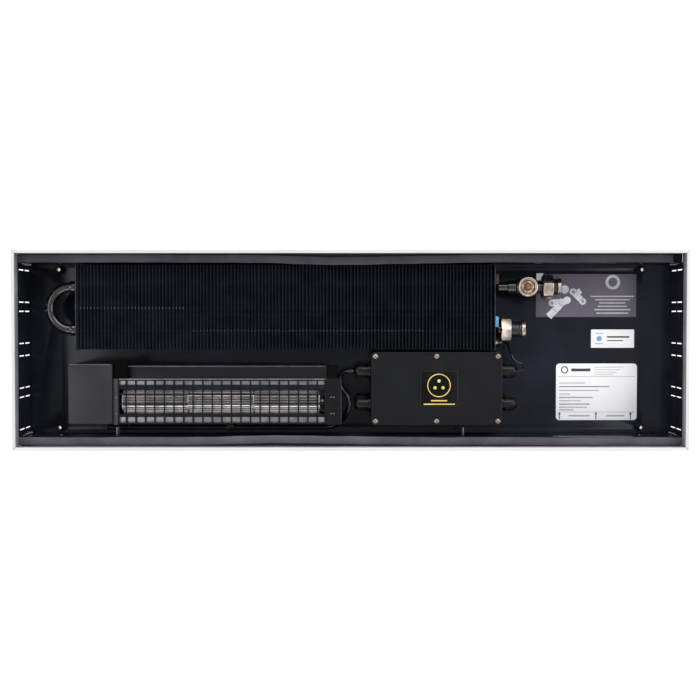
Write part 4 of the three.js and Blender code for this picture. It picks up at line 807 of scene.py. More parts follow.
pack_low, pack_high = corners("fin_pack")
tube_low, tube_high = corners("heating_tube")
TUBE_RADIUS = 6
INLET_Y, RETURN_Y = [sum(corner.y for corner in corners(f"{leg}_tail")) / 2 for leg in ("inlet", "return")]
TUBE_Z = (tube_low.z + tube_high.z) / 2
RETURN_END = 187.0
fin_count = round((pack_high.x - pack_low.x - FIN_HEM) / FIN_PITCH)
y0, y1, z0, z1 = pack_low.y + 0.5, pack_high.y - 0.5, pack_low.z, pack_high.z
peak_z, foot_z = z1 - FOLD_PEAK_DEPTH, z1 - FOLD_FOOT_DEPTH
fold = [
    (0.1, z1), (FIN_HEM - 0.1, z1), (FIN_HEM, z1 - 0.15), (FIN_HEM, z1 - 0.9), (FIN_FOLD, peak_z),
    (FIN_SHEET, foot_z), (FIN_SHEET, z0), (0, z0), (0, foot_z), (FIN_FOLD - 0.5, peak_z),
    (FIN_SHEET, z1 - 1.2), (0, z1 - 0.9), (0, z1 - 0.1),
]  # fmt: skip
spacers = [(FIN_HEM, FIN_PITCH, y - 0.5, y + 0.5, z1 - 3.4, z1 - 2.9) for y in SPACER_ROWS]
fin = joined("fin", show("web", drawn_across(fold, y0, y1)), show("spacers", boxes(*spacers)))
collar_radius = TUBE_RADIUS + COLLAR_WALL
collar_profile = [(0, TUBE_RADIUS + 0.2), (0, collar_radius), (FIN_PITCH, collar_radius)]
collars = [show("collar", turned(collar_profile, (0, y, TUBE_Z), 16)) for y in (INLET_Y, RETURN_Y)]
fin = joined("fin_pack_fine", fin, *collars)
first_x = pack_low.x + 0.2
fins = in_row(fin, dipped_black, fin_count, (first_x, 0, 0), (FIN_PITCH, 0, 0), FIN_SWAY, FIN_TURN, 4)
settle(fins, "matt_black_coat", "fin_pack")

# %% [markdown]
# Two of the rows of tabs shine as a dotted line along the hems, and the cut top edges of the end plates
# shine too. These shines are painted highlights: each of those hems gets a short pale facet, in a row of
# its own, and the plates' top faces a paler coat.

# %% Painted highlights on the hems
HIGHLIGHT_ROWS = [(1, 31, 50.6, 1.3), (34, 68, 23.2, 0.9)]
highlight_rows = []
for skipped, count, y, half in HIGHLIGHT_ROWS:
    facet = show("facet", boxes((0.02, FIN_HEM - 0.02, y - half, y + half, z1 - 0.5, z1 + 0.13)))
    start = (first_x + skipped * FIN_PITCH, 0, 0)
    highlight_rows.append(in_row(facet, hem_highlight, count, start, (FIN_PITCH, 0, 0), (0.05, 0.3, 0), seed=9))
settle(joined("worn_hems", *highlight_rows), "matt_black_coat")

# %% End plates
for side in ("left", "right"):
    node = f"exchanger_plate_{side}"
    top = corners(node)[1].z
    plate = softened(node, 0.2, dipped_black, plate_top_highlight)
    # The cut top faces take the paler coat: a painted highlight.
    paint(plate, 1, lambda centre, normal: centre.z > top - 0.3 and normal.z > 0.3)
    settle(plate, "matt_black_coat", node)

# %% [markdown]
# The tube runs out of the left plate, round a bend and back. The bend is a separate piece on the real
# exchanger, pushed into a swaged socket on each leg and brazed, so each leg ends in a wider sleeve with a
# step.

# %% Tube with its bend and sockets
LEG_END = tube_high.x
BEND_X = -342.2
BEND_RADIUS = (INLET_Y - RETURN_Y) / 2
BEND_STEPS = 24
route = [(LEG_END, INLET_Y, TUBE_Z)]
for i in range(BEND_STEPS + 1):
    turn = math.pi * i / BEND_STEPS
    y = (INLET_Y + RETURN_Y) / 2 + BEND_RADIUS * math.cos(turn)
    route.append((BEND_X - BEND_RADIUS * math.sin(turn), y, TUBE_Z))
route.append((RETURN_END, RETURN_Y, TUBE_Z))
pipe = along_path("pipe", tube_black, route, TUBE_RADIUS - 0.02, 28, 3)
sockets = []
for y in (INLET_Y, RETURN_Y):
    x0, x1 = BEND_X - 0.6, pack_low.x - 0.4
    swage = [(x0, 6.0), (x0, 7.3), (x0 + 0.6, 7.6), (x0 + 5.4, 7.5), (x0 + 7.2, 6.7), (x1, 6.6), (x1, 6.0)]
    sockets.append(show("socket", turned(swage, (0, y, TUBE_Z), 32), tube_black))
settle(shaded(joined("heating_tube_fine", pipe, *sockets)), "matt_black_coat", "heating_tube")

# %% [markdown]
# ## Pipe fittings
# Two rings of coloured plastic mark the flow and the return. On the flow leg sits a tee with a vent: a
# nickel-plated collar round a faceted brass seat, with the vent's screw in the middle. Both legs end in a
# union nut that turns on a tail. The nuts are forged hexagons, chamfered on both ends, and the tails are
# turned.

# %% Marker rings and the tee
MARKERS = [
    ("inlet", "red_plastic", red_plastic, INLET_Y),
    ("return", "blue_plastic", blue_plastic, RETURN_Y),
]
# The part of each marker in front of a line this far behind its axis takes the rubber black: painted shade.
SHADE_BELOW = 3
for leg, slot, colour, axis_y in MARKERS:
    marker = softened(f"{leg}_marker", 0.3, colour, rubber_and_shade_black)
    paint(marker, 1, lambda centre, normal: centre.y < axis_y + SHADE_BELOW)
    settle(marker, slot, f"{leg}_marker")

VENT = Vector((215.5, INLET_Y, 0))
tee_low, tee_high = corners("vent_tee")
TEE_BODY = [
    (0, 6.1), (0, 7.5), (0.5, 8), (9.6, 8), (11.2, 9.4), (12.2, 9.9), (34.6, 9.9), (36, 9.0), (36.6, 7.6),
]  # fmt: skip
TEE_END = [(-0.4, 7.4), (0, 7.0), (0, 6.1)]
body_profile = along_from(tee_low.x, TEE_BODY) + along_from(tee_high.x, TEE_END)
tee_body = show("tee_body", turned(body_profile, (0, INLET_Y, TUBE_Z), 40), tube_black)
stem = [(TUBE_Z + 4, 0), (TUBE_Z + 4, 9.7), (tee_high.z - 7.2, 9.7), (tee_high.z - 7.0, 0)]
tee_stem = show("tee_stem", turned(stem, VENT, 40, True), tube_black)
COLLAR = 12.25
COLLAR_RING = [
    (-7.2, 9.6), (-6.0, COLLAR - 1.2), (-4.8, COLLAR), (-0.9, COLLAR), (-0.2, COLLAR - 0.7),
    (0, COLLAR - 1.5), (-0.1, 10.4), (-0.7, 10.1), (-0.6, 9.6), (-0.1, 9.3), (-0.4, 8.8),
    (-1.6, 8.5), (-5, 8.3), (-5, 0), (-7.2, 0),
]  # fmt: skip
collar_ring = along_from(tee_high.z, COLLAR_RING)
tee_collar = show("tee_collar", turned(collar_ring, VENT, 48, True), nickel)
SEAT_FACETS = 12
SEAT = [(-4.98, 0), (-4.98, 8.25), (-2.2, 8.25), (-1.5, 7.4), (-3.3, 3.9), (-4.6, 3.6), (-4.6, 0)]
seat_profile = along_from(tee_high.z, SEAT)
tee_seat = show("tee_seat", turned(seat_profile, VENT, SEAT_FACETS, True), aged_brass)
tee = joined("vent_tee_fine", tee_body, tee_stem, tee_collar, tee_seat)
settle(shaded(tee, 28), "nickel_plate", "vent_tee")

# %% Vent screw
screw_low, screw_high = corners("vent_screw")
top = screw_high.z
key_profile = [(screw_low.z, 0), (screw_low.z, 3.0)]
key_profile += along_from(top, [(-0.8, 3.1), (-0.2, 2.6), (0, 1.9), (-0.1, 0)])
key = show("vent_screw_fine", turned(key_profile, VENT, 24, True), turned_brass)
slit = show("slit", boxes((VENT.x - 4, VENT.x + 4, VENT.y - 0.45, VENT.y + 0.45, top - 1.1, top + 1)))
carve = key.modifiers.new("slit", "BOOLEAN")
carve.operation = "DIFFERENCE"
carve.object = slit
frozen(key)
bpy.data.objects.remove(slit)
settle(shaded(key, 30), "brass", "vent_screw", body="vent_key")

# %% Union nuts
for node, body in (("inlet_union_nut", "inlet_nut"), ("return_union_nut", "return_nut")):
    nut = softened(node, 0.5, nickel, segments=3)
    settle(nut, "nickel_plate", node, body=body)

# %% Tails
INLET_INNER = [(0, 7), (0, 9.6), (0.5, 9.95), (1.6, 9.95), (2.0, 9.3), (4.2, 9.3), (4.6, 9.9)]
INLET_OUTER = [
    (-6.4, 9.9), (-6.0, 9.3), (-5.2, 9.3), (-4.8, 10.5), (-4.4, 10.95), (-3.2, 10.95), (-2.9, 10.4),
    (-2.3, 10.4), (-2.0, 10.9), (-0.9, 10.9), (-0.2, 10.2), (0, 9.4), (-0.2, 7.4), (-0.6, 7),
]  # fmt: skip
RETURN_INNER = [(0, 7), (0, 9.7)]
BESIDE_NUT = [(-1, 9.9), (0.4, 9.6), (0.8, 9.2)]
RETURN_OUTER = [
    (-8.4, 9.2), (-8.0, 9.5), (-7.4, 9.9), (-5.2, 9.9), (-4.8, 10.6), (-4.3, 10.95), (-3.2, 10.95),
    (-2.9, 10.3), (-2.3, 10.3), (-2.0, 10.85), (-0.8, 10.85), (-0.2, 10.1), (0, 9.3), (-0.2, 7.4),
    (-0.6, 7),
]  # fmt: skip


def finish_tail(node, profile, axis_y, plated):
    """A turned tail that is plated for so many mm from its outer end and dark on the rest of its sleeve."""
    dark_end = corners(node)[1].x - plated
    closed = profile + profile[:1]
    piece = show(f"{node}_fine", turned(closed, (0, axis_y, TUBE_Z), 56), nickel, dark_sleeve)
    paint(piece, 1, lambda centre, normal: centre.x < dark_end and Vector(normal).yz.length > 0.5)
    settle(shaded(piece, 30), "nickel_plate", node)


low, high = corners("inlet_tail")
inlet_profile = along_from(low.x, INLET_INNER) + along_from(high.x, INLET_OUTER)
finish_tail("inlet_tail", inlet_profile, INLET_Y, 5)
low, high = corners("return_tail")
nut_end = corners("return_union_nut")[1].x
return_profile = along_from(low.x, RETURN_INNER) + along_from(nut_end, BESIDE_NUT)
return_profile += along_from(high.x, RETURN_OUTER)
finish_tail("return_tail", return_profile, RETURN_Y, 5.2)

# %% [markdown]
# ## Cross-flow fan
# A long drum of curved blades turns between two side plates, inside a scroll of bare galvanised sheet.
# Air comes in from above, through a wire guard, and leaves under the black roof towards the fins.

# %% Housing
AXIS_Y, AXIS_Z = -63.0, 28.0
WEB_Y = AXIS_Y + 27.2
settle(softened("fan_volute", 0.15, galvanised), "zinc_sheet", "fan_volute")
tongue = softened("fan_tongue", 0.12, roof_black, galvanised)
paint(tongue, 1, lambda centre, normal: centre.y < WEB_Y - 0.3)
settle(tongue, "black_powder_coat", "fan_tongue")
# The paler coat lifts the lower flange out of its shade: painted light.
plate_left = softened("fan_plate_left", 0.2, flange_lit_grey)
settle(plate_left, "black_powder_coat", "fan_plate_left")
plate_right = softened("fan_plate_right", 0.25, roof_black, metal_edge_highlight)
# Its right edge's top faces take the pale metal finish: a painted highlight.
edge_x = corners("fan_plate_right")[1].x - 0.35
paint(plate_right, 1, lambda centre, normal: centre.x > edge_x and normal.z > 0.25 and normal.x > 0.05)
settle(plate_right, "black_powder_coat", "fan_plate_right")

# %% [markdown]
# The drum has three segments. A blade is rolled to an arc, so that it catches light on its back and stays
# dark in its hollow. One blade is built as a bent strip; a ring of them makes a segment and a row of
# segments the drum.

# %% Impeller
BLADES = 34
BLADE_SHEET = 0.5
BLADE_RIM, BLADE_ROOT = 17.3, 12.2
BLADE_LEAN = math.radians(-17)
BLADE_STEPS = 5
SEGMENTS = 3
DISC_THICKNESS = 1.6
wheel_low, wheel_high = corners("impeller")
wheel_x0, wheel_x1 = wheel_low.x + DISC_THICKNESS / 2, wheel_high.x - DISC_THICKNESS / 2
wheel_start = (wheel_x0, AXIS_Y, AXIS_Z)
segment = (wheel_x1 - wheel_x0) / SEGMENTS


def blade_mesh(length):
    """A strip bent to an arc from the rim of the drum inwards, drawn out along X."""
    work = bmesh.new()
    sides = []
    for i in range(BLADE_STEPS + 1):
        share = i / BLADE_STEPS
        radius = BLADE_RIM + (BLADE_ROOT - BLADE_RIM) * share
        lean = BLADE_LEAN * (share - 0.35 * math.sin(math.pi * share) * 2)
        for lift in (-BLADE_SHEET / 2, BLADE_SHEET / 2):
            around = lean + lift / radius
            across = (radius * math.sin(around), radius * math.cos(around))
            sides.append([work.verts.new(Vector((x, *across)) * MM) for x in (0, length)])
    loop = sides[0::2] + sides[1::2][::-1]
    for (a0, a1), (b0, b1) in zip(loop, loop[1:] + loop[:1]):
        work.faces.new((a0, b0, b1, a1))
    for end in (0, 1):
        for i in range(BLADE_STEPS):
            near, far = sides[2 * i : 2 * i + 2], sides[2 * i + 2 : 2 * i + 4]
            work.faces.new((near[0][end], near[1][end], far[1][end], far[0][end]))
    return filled(work)


blades = show("blades", blade_mesh(segment))
blades = in_ring(blades, blade_aluminium, BLADES, (0, 0, 0))
step = (segment, 0, 0)
blades = in_row(blades, blade_aluminium, SEGMENTS, wheel_start, step, turn=(0.06, 0, 0), seed=3)
half = DISC_THICKNESS / 2
disc_profile = [(-half, 0), (-half, 17.6), (-half + 0.3, 18), (half - 0.3, 18), (half, 17.6), (half, 0)]
drum_disc = show("disc", turned(disc_profile, (0, 0, 0), 72))
discs = in_row(drum_disc, disc_aluminium, SEGMENTS + 1, wheel_start, step)
drum = joined("impeller_fine", blades, discs)
settle(drum, "aluminium_blades", "impeller", body="impeller")
coupling_profile = [(-4.9, 3.6), (-4.9, 11.6), (-4.2, 12.6), (-2.2, 12.6), (-1.5, 11.6), (-1.5, 3.6)]
coupling = show("rubber_coupling", turned(coupling_profile, wheel_start, 48), rubber_and_shade_black)
settle(shaded(coupling), "black_rubber", body="impeller")
dress(bright_zinc, "drive_shaft", "idler_shaft", "fan_motor")
dress(nylon_black, "bearing_bush")

# %% [markdown]
# The guard is welded from round wire on flat bars, and dipped black. Its wires run across and its bars
# along the fan.

# %% Wire guard
GUARD_PITCH = 11.6
GUARD_FIRST_WIRE = 9.6
GUARD_RIM = 1.3
WIRE_RADIUS = 0.85
GUARD_BARS = [(17.75, 5.5), (8.9, 1.8), (-2.7, 1.5), (-16.45, 2.9)]
guard_low, guard_high = corners("fan_guard")
wire_count = int((guard_high.x - guard_low.x - GUARD_FIRST_WIRE - 2) / GUARD_PITCH) + 1
x0, x1, y0, y1 = guard_low.x, guard_high.x, guard_low.y, guard_high.y
mid_z = (guard_low.z + guard_high.z) / 2
span = [(0, y0 + 0.5, mid_z + 0.1), (0, y1 - 0.5, mid_z + 0.1)]
wire = along_path("wire", dipped_black, span, WIRE_RADIUS, 12, 1)
start = (x0 + GUARD_FIRST_WIRE, 0, 0)
wires = in_row(wire, dipped_black, wire_count, start, (GUARD_PITCH, 0, 0), (0.12, 0, 0.05))
flats = [(x0, x1, AXIS_Y + y - w / 2, AXIS_Y + y + w / 2, mid_z - 0.9, mid_z - 0.1) for y, w in GUARD_BARS]
rim = [(x0, x1, y0, y0 + GUARD_RIM), (x0, x1, y1 - GUARD_RIM, y1)]
rim += [(x0, x0 + GUARD_RIM, y0, y1), (x1 - GUARD_RIM, x1, y0, y1)]
flats += [(*side, guard_low.z, guard_high.z - 0.2) for side in rim]
bars = with_edges(show("bars", boxes(*flats), dipped_black), 0.25)
settle(joined("fan_guard_fine", wires, bars), "matt_black_coat", "fan_guard")

# %% [markdown]
# The motor's cover is a shell of powder-coated sheet, a shade greyer than the trough. A block of rubber
# lies beside the outlet, under the corner of the cover. Rivets hold the plates: small, but they tell the
# size of the rest.

# %% Motor cover, rubber block and rivets
cover = softened("motor_cover", 0.5, cover_black, pale_edge_highlight, segments=3)
cover_back = corners("motor_cover")[1].y
# The rear chamfer faces take the paler coat: a painted highlight.
paint(cover, 1, lambda centre, normal: 0.25 < normal.z < 0.9 and centre.y > cover_back - 0.6)
settle(cover, "black_powder_coat", "motor_cover")
settle(softened("damper_block", 0.6, rubber_and_shade_black, segments=3), "black_rubber", "damper_block")
RIVET_XS = [-23.5, -20.3]
RIVET_YS = [-57.6, -77.6]
plate_top = corners("fan_plate_right")[1].z
rivet_profile = [(-0.3, 0), (-0.3, 1.0), (0.1, 1.0), (0.45, 0.6), (0.5, 0)]
rivet = show("rivet", turned(rivet_profile, (0, 0, 0), 16, True))
left_flange = corners("fan_plate_left")
left_place = ((left_flange[0].x + left_flange[1].x) / 2 + 0.4, left_flange[1].z)
places = [(x, y, plate_top) for x in RIVET_XS for y in RIVET_YS]
places += [(left_place[0], y, left_place[1]) for y in RIVET_YS]
rivets = at_points("plate_rivets", rivet, screw_nickel, places)
settle(rivets, "bright_steel")

# %% [markdown]
# ## Electrical box
# A moulded ABS box with a flat lid holds the terminals. Six screws with round heads hold the lid in
# shallow recesses, and nylon glands clamp the leads at both ends. The lid has a fine raised border and a
# round ejector mark.

# %% Box and lid
settle(softened("terminal_box", 0.4, abs_black), "black_plastic", "terminal_box")
lid = softened("terminal_box_lid", 0.5, abs_black, segments=3)
lid_low, lid_high = corners("terminal_box_lid")
BORDER_INSET = 9.4
BORDER_WIDTH = 0.7
bx0, bx1 = lid_low.x + BORDER_INSET, lid_high.x - BORDER_INSET
by0, by1 = lid_low.y + BORDER_INSET, lid_high.y - BORDER_INSET
bead = (lid_high.z - 0.1, lid_high.z + 0.12)
w = BORDER_WIDTH
lines = [(bx0, bx1, by0, by0 + w, *bead), (bx0, bx1, by1 - w, by1, *bead)]
lines += [(bx0, bx0 + w, by0, by1, *bead), (bx1 - w, bx1, by0, by1, *bead)]
border = with_edges(show("border", boxes(*lines), abs_black), 0.1)
MARK_PLACE = (133.8, -14.8)
mark_profile = along_from(lid_high.z, [(-0.2, 3.6), (0.15, 3.7), (0.15, 4.5), (-0.2, 4.7)])
mark = show("mark", turned(mark_profile, (*MARK_PLACE, 0), 40, True), nylon_black)
settle(joined("terminal_box_lid_fine", lid, border, shaded(mark)), "black_plastic", "terminal_box_lid")
dress(board_green, "control_board")
dress(terminal_grey, "terminal_block")
dress(bright_zinc, "transformer")

# %% [markdown]
# A lid screw is a pan head with a cross recess, on a tarnished washer. Two booleans cut the recess, and
# the tree that copies a shape to points sets the head and the washer over each screw's solid.

# %% Lid screws
HEAD, WASHER = 2.9, 3.7


def screw_shape():
    """A pan head with a cross recess, its underside at height 0."""
    washer_profile = [(0, 0), (0, WASHER), (0.5, WASHER), (0.7, WASHER - 0.3), (0.6, HEAD), (0.2, 0)]
    washer = show("washer", turned(washer_profile, (0, 0, 0), 40, True), rust_brown)
    pan = [(0.3, 0), (0.3, HEAD), (1.1, HEAD - 0.05), (1.7, HEAD - 0.7), (2.0, HEAD - 1.7), (2.05, 0)]
    head = show("head", turned(pan, (0, 0, 0), 40, True), screw_nickel)
    for size in ((-1.6, 1.6, -0.35, 0.35), (-0.35, 0.35, -1.6, 1.6)):
        cutter = show("cutter", boxes((*size, 0.9, 3)))
        carve = head.modifiers.new("cross", "BOOLEAN")
        carve.operation = "DIFFERENCE"
        carve.object = cutter
        frozen(head)
        bpy.data.objects.remove(cutter)
    return washer, head


for number in range(1, 7):
    low, high = corners(f"lid_screw_{number}")
    centre = ((low.x + high.x) / 2, (low.y + high.y) / 2, high.z - 2.05)
    washer, head = screw_shape()
    washer = at_points("rings", washer, rust_brown, [centre])
    head = at_points("heads", head, screw_nickel, [centre])
    settle(joined(f"lid_screw_{number}_fine", washer, head), "bright_steel", f"lid_screw_{number}")

# %% [markdown]
# A gland is turned and moulded nylon: a flanged thread in the box's wall, a dark groove, and a cap whose
# ribs give a spanner its grip. The ribs are one small block in a ring.

# %% Cable glands
GLAND_RIBS = 18
FLANGE_X, GROOVE_X, NOSE_X = 3.5, 5.0, 5.0


def gland(node, wall_x, out):
    """A gland on a wall of the box, pointing outwards along X by +1 or -1."""
    low, high = corners(node)
    middle = (low + high) / 2
    length = (high.x if out > 0 else -low.x) - out * wall_x
    place = (0, middle.y, middle.z)
    shape = [
        (-4.4, 7.0), (-4.4, 7.7), (0.2, 7.7), (0.2, 9.3), (0.6, 9.7), (FLANGE_X - 0.5, 9.7), (FLANGE_X, 9.2),
        (FLANGE_X + 0.1, 8.2), (GROOVE_X, 8.2), (GROOVE_X + 0.2, 8.7), (length - NOSE_X, 8.7),
        (length - NOSE_X + 1.4, 8.1), (length - 1.6, 5.6), (length - 0.5, 4.6), (length, 3.9), (length, 2.4),
        (length - 2, 2.4),
    ]  # fmt: skip
    body_mesh = turned([(wall_x + out * along, radius) for along, radius in shape], place, 40)
    body_piece = shaded(show("gland_body", body_mesh, nylon_black), 30)
    r0, r1 = sorted((wall_x + out * (GROOVE_X + 0.5), wall_x + out * (length - NOSE_X + 0.3)))
    rib = with_edges(show("rib", boxes((r0, r1, -0.75, 0.75, 8.4, 9.15))), 0.3)
    ribs = in_ring(rib, nylon_black, GLAND_RIBS, place, 0.1)
    settle(joined(f"{node}_fine", body_piece, ribs), "black_plastic", node)


box_low, box_high = corners("terminal_box")
for number in (1, 2):
    gland(f"cable_gland_right_{number}", box_high.x, 1)
    gland(f"cable_gland_left_{number}", box_low.x, -1)

# %% [markdown]
# ## Leads
# The fan's lead leaves the motor's cover, lies along the front wall in its clip and climbs into the box's
# left gland. The earth lead goes from the right gland to a lug on the exchanger's tab. Both are held all
# the way, so they are round sections drawn along the route that their solids follow.

# %% Leads, lug and clip
FAN_LEAD_RADIUS, EARTH_LEAD_RADIUS = 2.5, 1.4
FROM_COVER = [(-18, 14.3, 3.3), (-18, 11.8, 3.2), (-16.2, 8.4, 3), (-11.6, 6.7, 2.8), (-2, 6.5, 2.8)]
TO_BOX = [
    (-175, 6.5, 2.8), (-69, 6.5, 2.8), (-57, 6.7, 3.1), (-47, 8.4, 6.2),
    (-39.5, 12.6, 12.7), (-33.5, 19, 21.2), (-28.6, 27.2, 28.5), (-26.4, 37, 31.5),
]  # fmt: skip
TO_GLAND = [
    (-6.8, -31.8, 4), (-12.4, -23.8, -1.4), (-17, -15.8, -6), (-16.4, -7.4, -6.4),
    (-11.8, -2, -3.2), (-5.4, -0.2, -0.2), (1.5, 0, 0),
]  # fmt: skip
FROM_GLAND = [
    (-1.5, 0, 0), (4.6, 0.6, 0.4), (7.4, 4.2, 2.6), (5, 8.8, 6.4), (-0.8, 10.6, 8.4), (-5.6, 14.4, 7.6),
]  # fmt: skip
TO_LUG = [(8, -14, 26.7), (6.6, -8.6, 19.1), (6.2, -3.6, 10.1), (5.6, -0.6, 3.1), (3.6, 0, 0.5), (0, 0, 0)]


def counted_from(anchor, offsets):
    """Points in mm, from their offsets from an anchor."""
    return [Vector(anchor) + Vector(offset) for offset in offsets]


WALL_Y, FLOOR_Z = -105.0, 1.3
EARTH_Y = 8.0
cover_end = corners("motor_cover")[1].x
gland_low, gland_high = corners("cable_gland_left_1")
gland_y, gland_z = (gland_low.y + gland_high.y) / 2, (gland_low.z + gland_high.z) / 2
route = counted_from((cover_end, WALL_Y, FLOOR_Z), FROM_COVER)
route += counted_from((box_low.x, WALL_Y, FLOOR_Z), TO_BOX)
route += counted_from((gland_low.x - 0.3, gland_y, gland_z), TO_GLAND)
fan_lead = along_path("fan_lead_fine", sheath_black, route, FAN_LEAD_RADIUS, 24, 6)
settle(fan_lead, "black_rubber", "fan_lead")
right_end = corners("cable_gland_right_1")[1].x
screw_low, screw_high = corners("earth_screw")
lug_place = (screw_high.x + 0.3, EARTH_Y, screw_low.z + 1.7)
route = counted_from((right_end + 0.3, gland_y, gland_z), FROM_GLAND) + counted_from(lug_place, TO_LUG)
earth_lead = along_path("earth_lead_fine", sheath_black, route, EARTH_LEAD_RADIUS, 20, 6)
settle(earth_lead, "black_rubber", "earth_lead")
settle(softened("earth_screw", 0.15, bright_zinc), "bright_steel", "earth_screw")
settle(softened("lead_clip", 0.3, nylon_black, segments=3), "black_plastic", "lead_clip")

# %% [markdown]
# ## Labels
# Four printed films: three on the floor and one on the lid. All are generic here: plain rules, short
# bars, rings and bands stand where print would be. A film is the softened solid, and what is printed on
# it is a skin of ink a few hundredths of a millimetre thick.

# %% Print on a film
INK = 0.03
INK_RISE = 0.002


def inked(name, node, material, outlines):
    """Flat outlines in mm, from a label's left front corner, as a skin of ink on it."""
    low, high = corners(node)
    shifted = [[(low.x + x, low.y + y) for x, y in outline] for outline in outlines]
    return show(name, extruded(shifted, high.z + 0.005, high.z + INK, INK_RISE), material)


def lifted(piece, skins=1):
    """A skin of ink raised by so many thicknesses, to lie over another."""
    piece.data.transform(Matrix.Translation((0, 0, skins * INK * MM)))
    return piece


def bar(x0, x1, y0, y1):
    """The outline of a printed bar."""
    return [(x0, y0), (x1, y0), (x1, y1), (x0, y1)]


def disc(x, y, radius, sides=32):
    """The outline of a printed disc."""
    turns = [2 * math.pi * i / sides for i in range(sides)]
    return [(x + radius * math.cos(turn), y + radius * math.sin(turn)) for turn in turns]


def band(points_mm, width):
    """The outline of a printed band of that width along a bent line."""
    left, right = [], []
    for i, (x, y) in enumerate(points_mm):
        x0, y0 = points_mm[max(i - 1, 0)]
        x1, y1 = points_mm[min(i + 1, len(points_mm) - 1)]
        along = Vector((x1 - x0, y1 - y0)).normalized() * width / 2
        left.append((x - along.y, y + along.x))
        right.append((x + along.y, y - along.x))
    return left + right[::-1]


# %% Connection label
film = softened("connection_label", 0.06, film_mauve)
PALE_RING = (96, 43.5)
rules = [(45, 25.8), (36, 21.6), (27, 17.6), (30, 13.4), (37, 9.2), (33, 4.9)]
RULE_X = 95.5
print_rules = [bar(RULE_X - w / 1.66, RULE_X + w / 1.66, y - 0.7, y + 0.7) for w, y in rules]
pale = inked("pale", "connection_label", ink_pale, [disc(*PALE_RING, 9.2)] + print_rules)
elbow = [(16, 0.4), (23, 7.5), (27.5, 12.5), (31.5, 17), (34.5, 21)]
plug = [(20, 17.5), (26, 18.5), (32, 18), (37.5, 20), (41, 21.5)]
cross_piece = [(45, 33), (50, 28), (55, 23), (60.5, 17.5)]
branch = [(50, 29), (53.5, 31.5), (56, 33)]
shapes = [band(elbow, 8.6), band(plug, 8), disc(20, 17.5, 4), disc(39, 21, 4.6), disc(36, 34.5, 5.2)]
shapes += [band(cross_piece, 7.6), band(branch, 7), disc(46.5, 31.5, 4.3), disc(58.5, 19.6, 4.2)]
shapes.append(bar(0.6, 9, 46, 54.6))
motifs = inked("motifs", "connection_label", ink_white, shapes)
edges = [band([(20.8, 10.6), (27.2, 5.0)], 0.7), band([(27.4, 18.6), (33.8, 13)], 0.7), disc(20, 17.5, 2.4)]
edges += [band([(24.2, 14.4), (24, 22.4)], 0.7), band([(45.6, 27), (51, 32.4)], 0.7), disc(58.5, 19.6, 2.2)]
edges += [band([(53.6, 19), (59, 24.4)], 0.7), band([(32.6, 31), (39.4, 31)], 0.6), disc(46.5, 31.5, 2.2)]
rims = lifted(inked("rims", "connection_label", ink_grey, edges))
hole = lifted(inked("hole", "connection_label", film_mauve, [disc(*PALE_RING, 5.6)]))
settle(joined("connection_label_fine", film, pale, motifs, rims, hole), "grey_label", "connection_label")

# %% Small label
film = softened("small_label", 0.06, film_white)
blue_shapes = [bar(5, 15.5, 4.6, 5.5), bar(5, 15.5, 17.6, 18.5), disc(10.2, 11.5, 3.3)]
blue = inked("blue", "small_label", ink_blue, blue_shapes)
grey = inked("grey", "small_label", ink_dark, [bar(20, 48, 12.6, 14.6), bar(20, 40, 8.4, 9.6)])
settle(joined("small_label_fine", film, blue, grey), "white_label", "small_label")

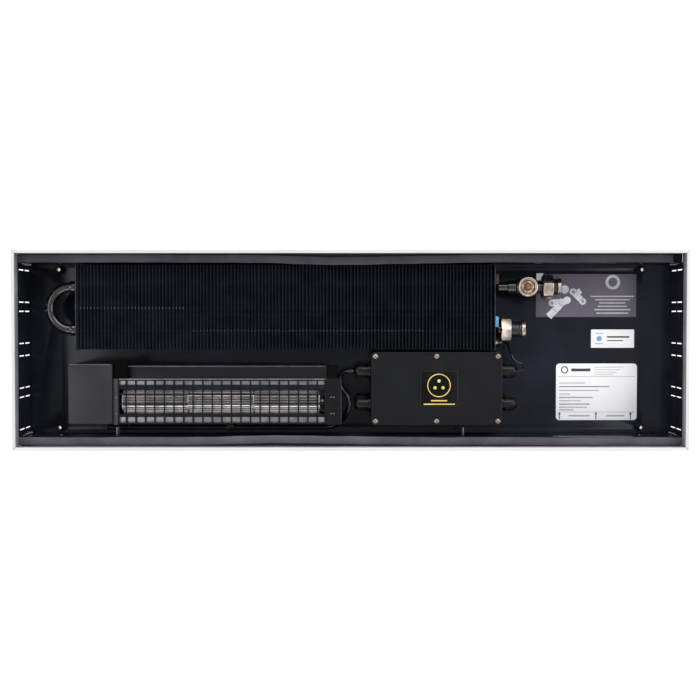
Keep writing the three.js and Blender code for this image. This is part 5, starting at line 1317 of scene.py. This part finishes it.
# %% Rating plate
film = softened("rating_label", 0.06, film_white)
low, high = corners("rating_label")
wide = high.x - low.x
RULES_Y = [54.6, 10.2]
DARK_RING = (10.6, 63)
frame_rules = [bar(3, wide - 3, y - 0.25, y + 0.25) for y in RULES_Y]
BARS = [
    (46.5, 32, 0.5), (42.0, 63, 0.75), (37.2, 50, 0.5), (32.6, 14, 0.5), (28.4, 42, 0.7),
    (24.2, 27, 0.5), (20.0, 38, 0.8), (16.2, 35, 0.6), (12.8, 18, 0.7),
]  # fmt: skip
short_bars = [bar(4, 4 + length, y - half, y + half) for y, length, half in BARS]
head_bars = [bar(48, 84 - 4 * i, 66 - 3.1 * i, 66.6 - 3.1 * i) for i in range(4)]
foot_bars = [bar(16, 42, 4.6, 6.2), bar(63, 86, 4.6, 6.2)]
grey = inked("grey", "rating_label", ink_grey, frame_rules + short_bars + head_bars + foot_bars)
PINS_X = [4.4, 50.2, 93.6]
pins = [bar(x - 0.6, x + 0.6, 0.8, 8) for x in PINS_X] + [disc(x, 8.2, 1.4) for x in PINS_X]
top_bars = [bar(19, 43, 61.2, 64.6)]
dark = inked("dark", "rating_label", ink_dark, pins + top_bars + [disc(*DARK_RING, 4.6)])
inner = lifted(inked("inner", "rating_label", film_white, [disc(*DARK_RING, 3.2)]))
settle(joined("rating_label_fine", film, grey, dark, inner), "white_label", "rating_label")

# %% Lid label
film = softened("lid_label", 0.06, film_black)
RING_PLACE = (23.6, 26.6)
rim_bars = [bar(1.2, 46.4, 1.2, 1.5), bar(1.2, 46.4, 43.9, 44.2)]
rim_bars += [bar(1.2, 1.5, 1.5, 43.9), bar(46.1, 46.4, 1.5, 43.9)]
rim = inked("rim", "lid_label", ink_dark, rim_bars)
ring_outline = inked("ring_outline", "lid_label", ink_yellow, [disc(*RING_PLACE, 14.2, 64)])
ring_hole = lifted(inked("ring_hole", "lid_label", film_black, [disc(*RING_PLACE, 13.1, 64)]))
spots = [disc(RING_PLACE[0] + x, RING_PLACE[1] + y, 2.0) for x, y in ((0, 5.5), (-4.8, -2.8), (4.8, -2.8))]
lid_rules = [bar(14, 33.5, 7.3, 8.9), bar(5, 43, 3.2, 4.5)]
yellow = lifted(inked("yellow", "lid_label", ink_yellow, spots + lid_rules), 2)
settle(joined("lid_label_fine", film, rim, ring_outline, ring_hole, yellow), "black_label", "lid_label")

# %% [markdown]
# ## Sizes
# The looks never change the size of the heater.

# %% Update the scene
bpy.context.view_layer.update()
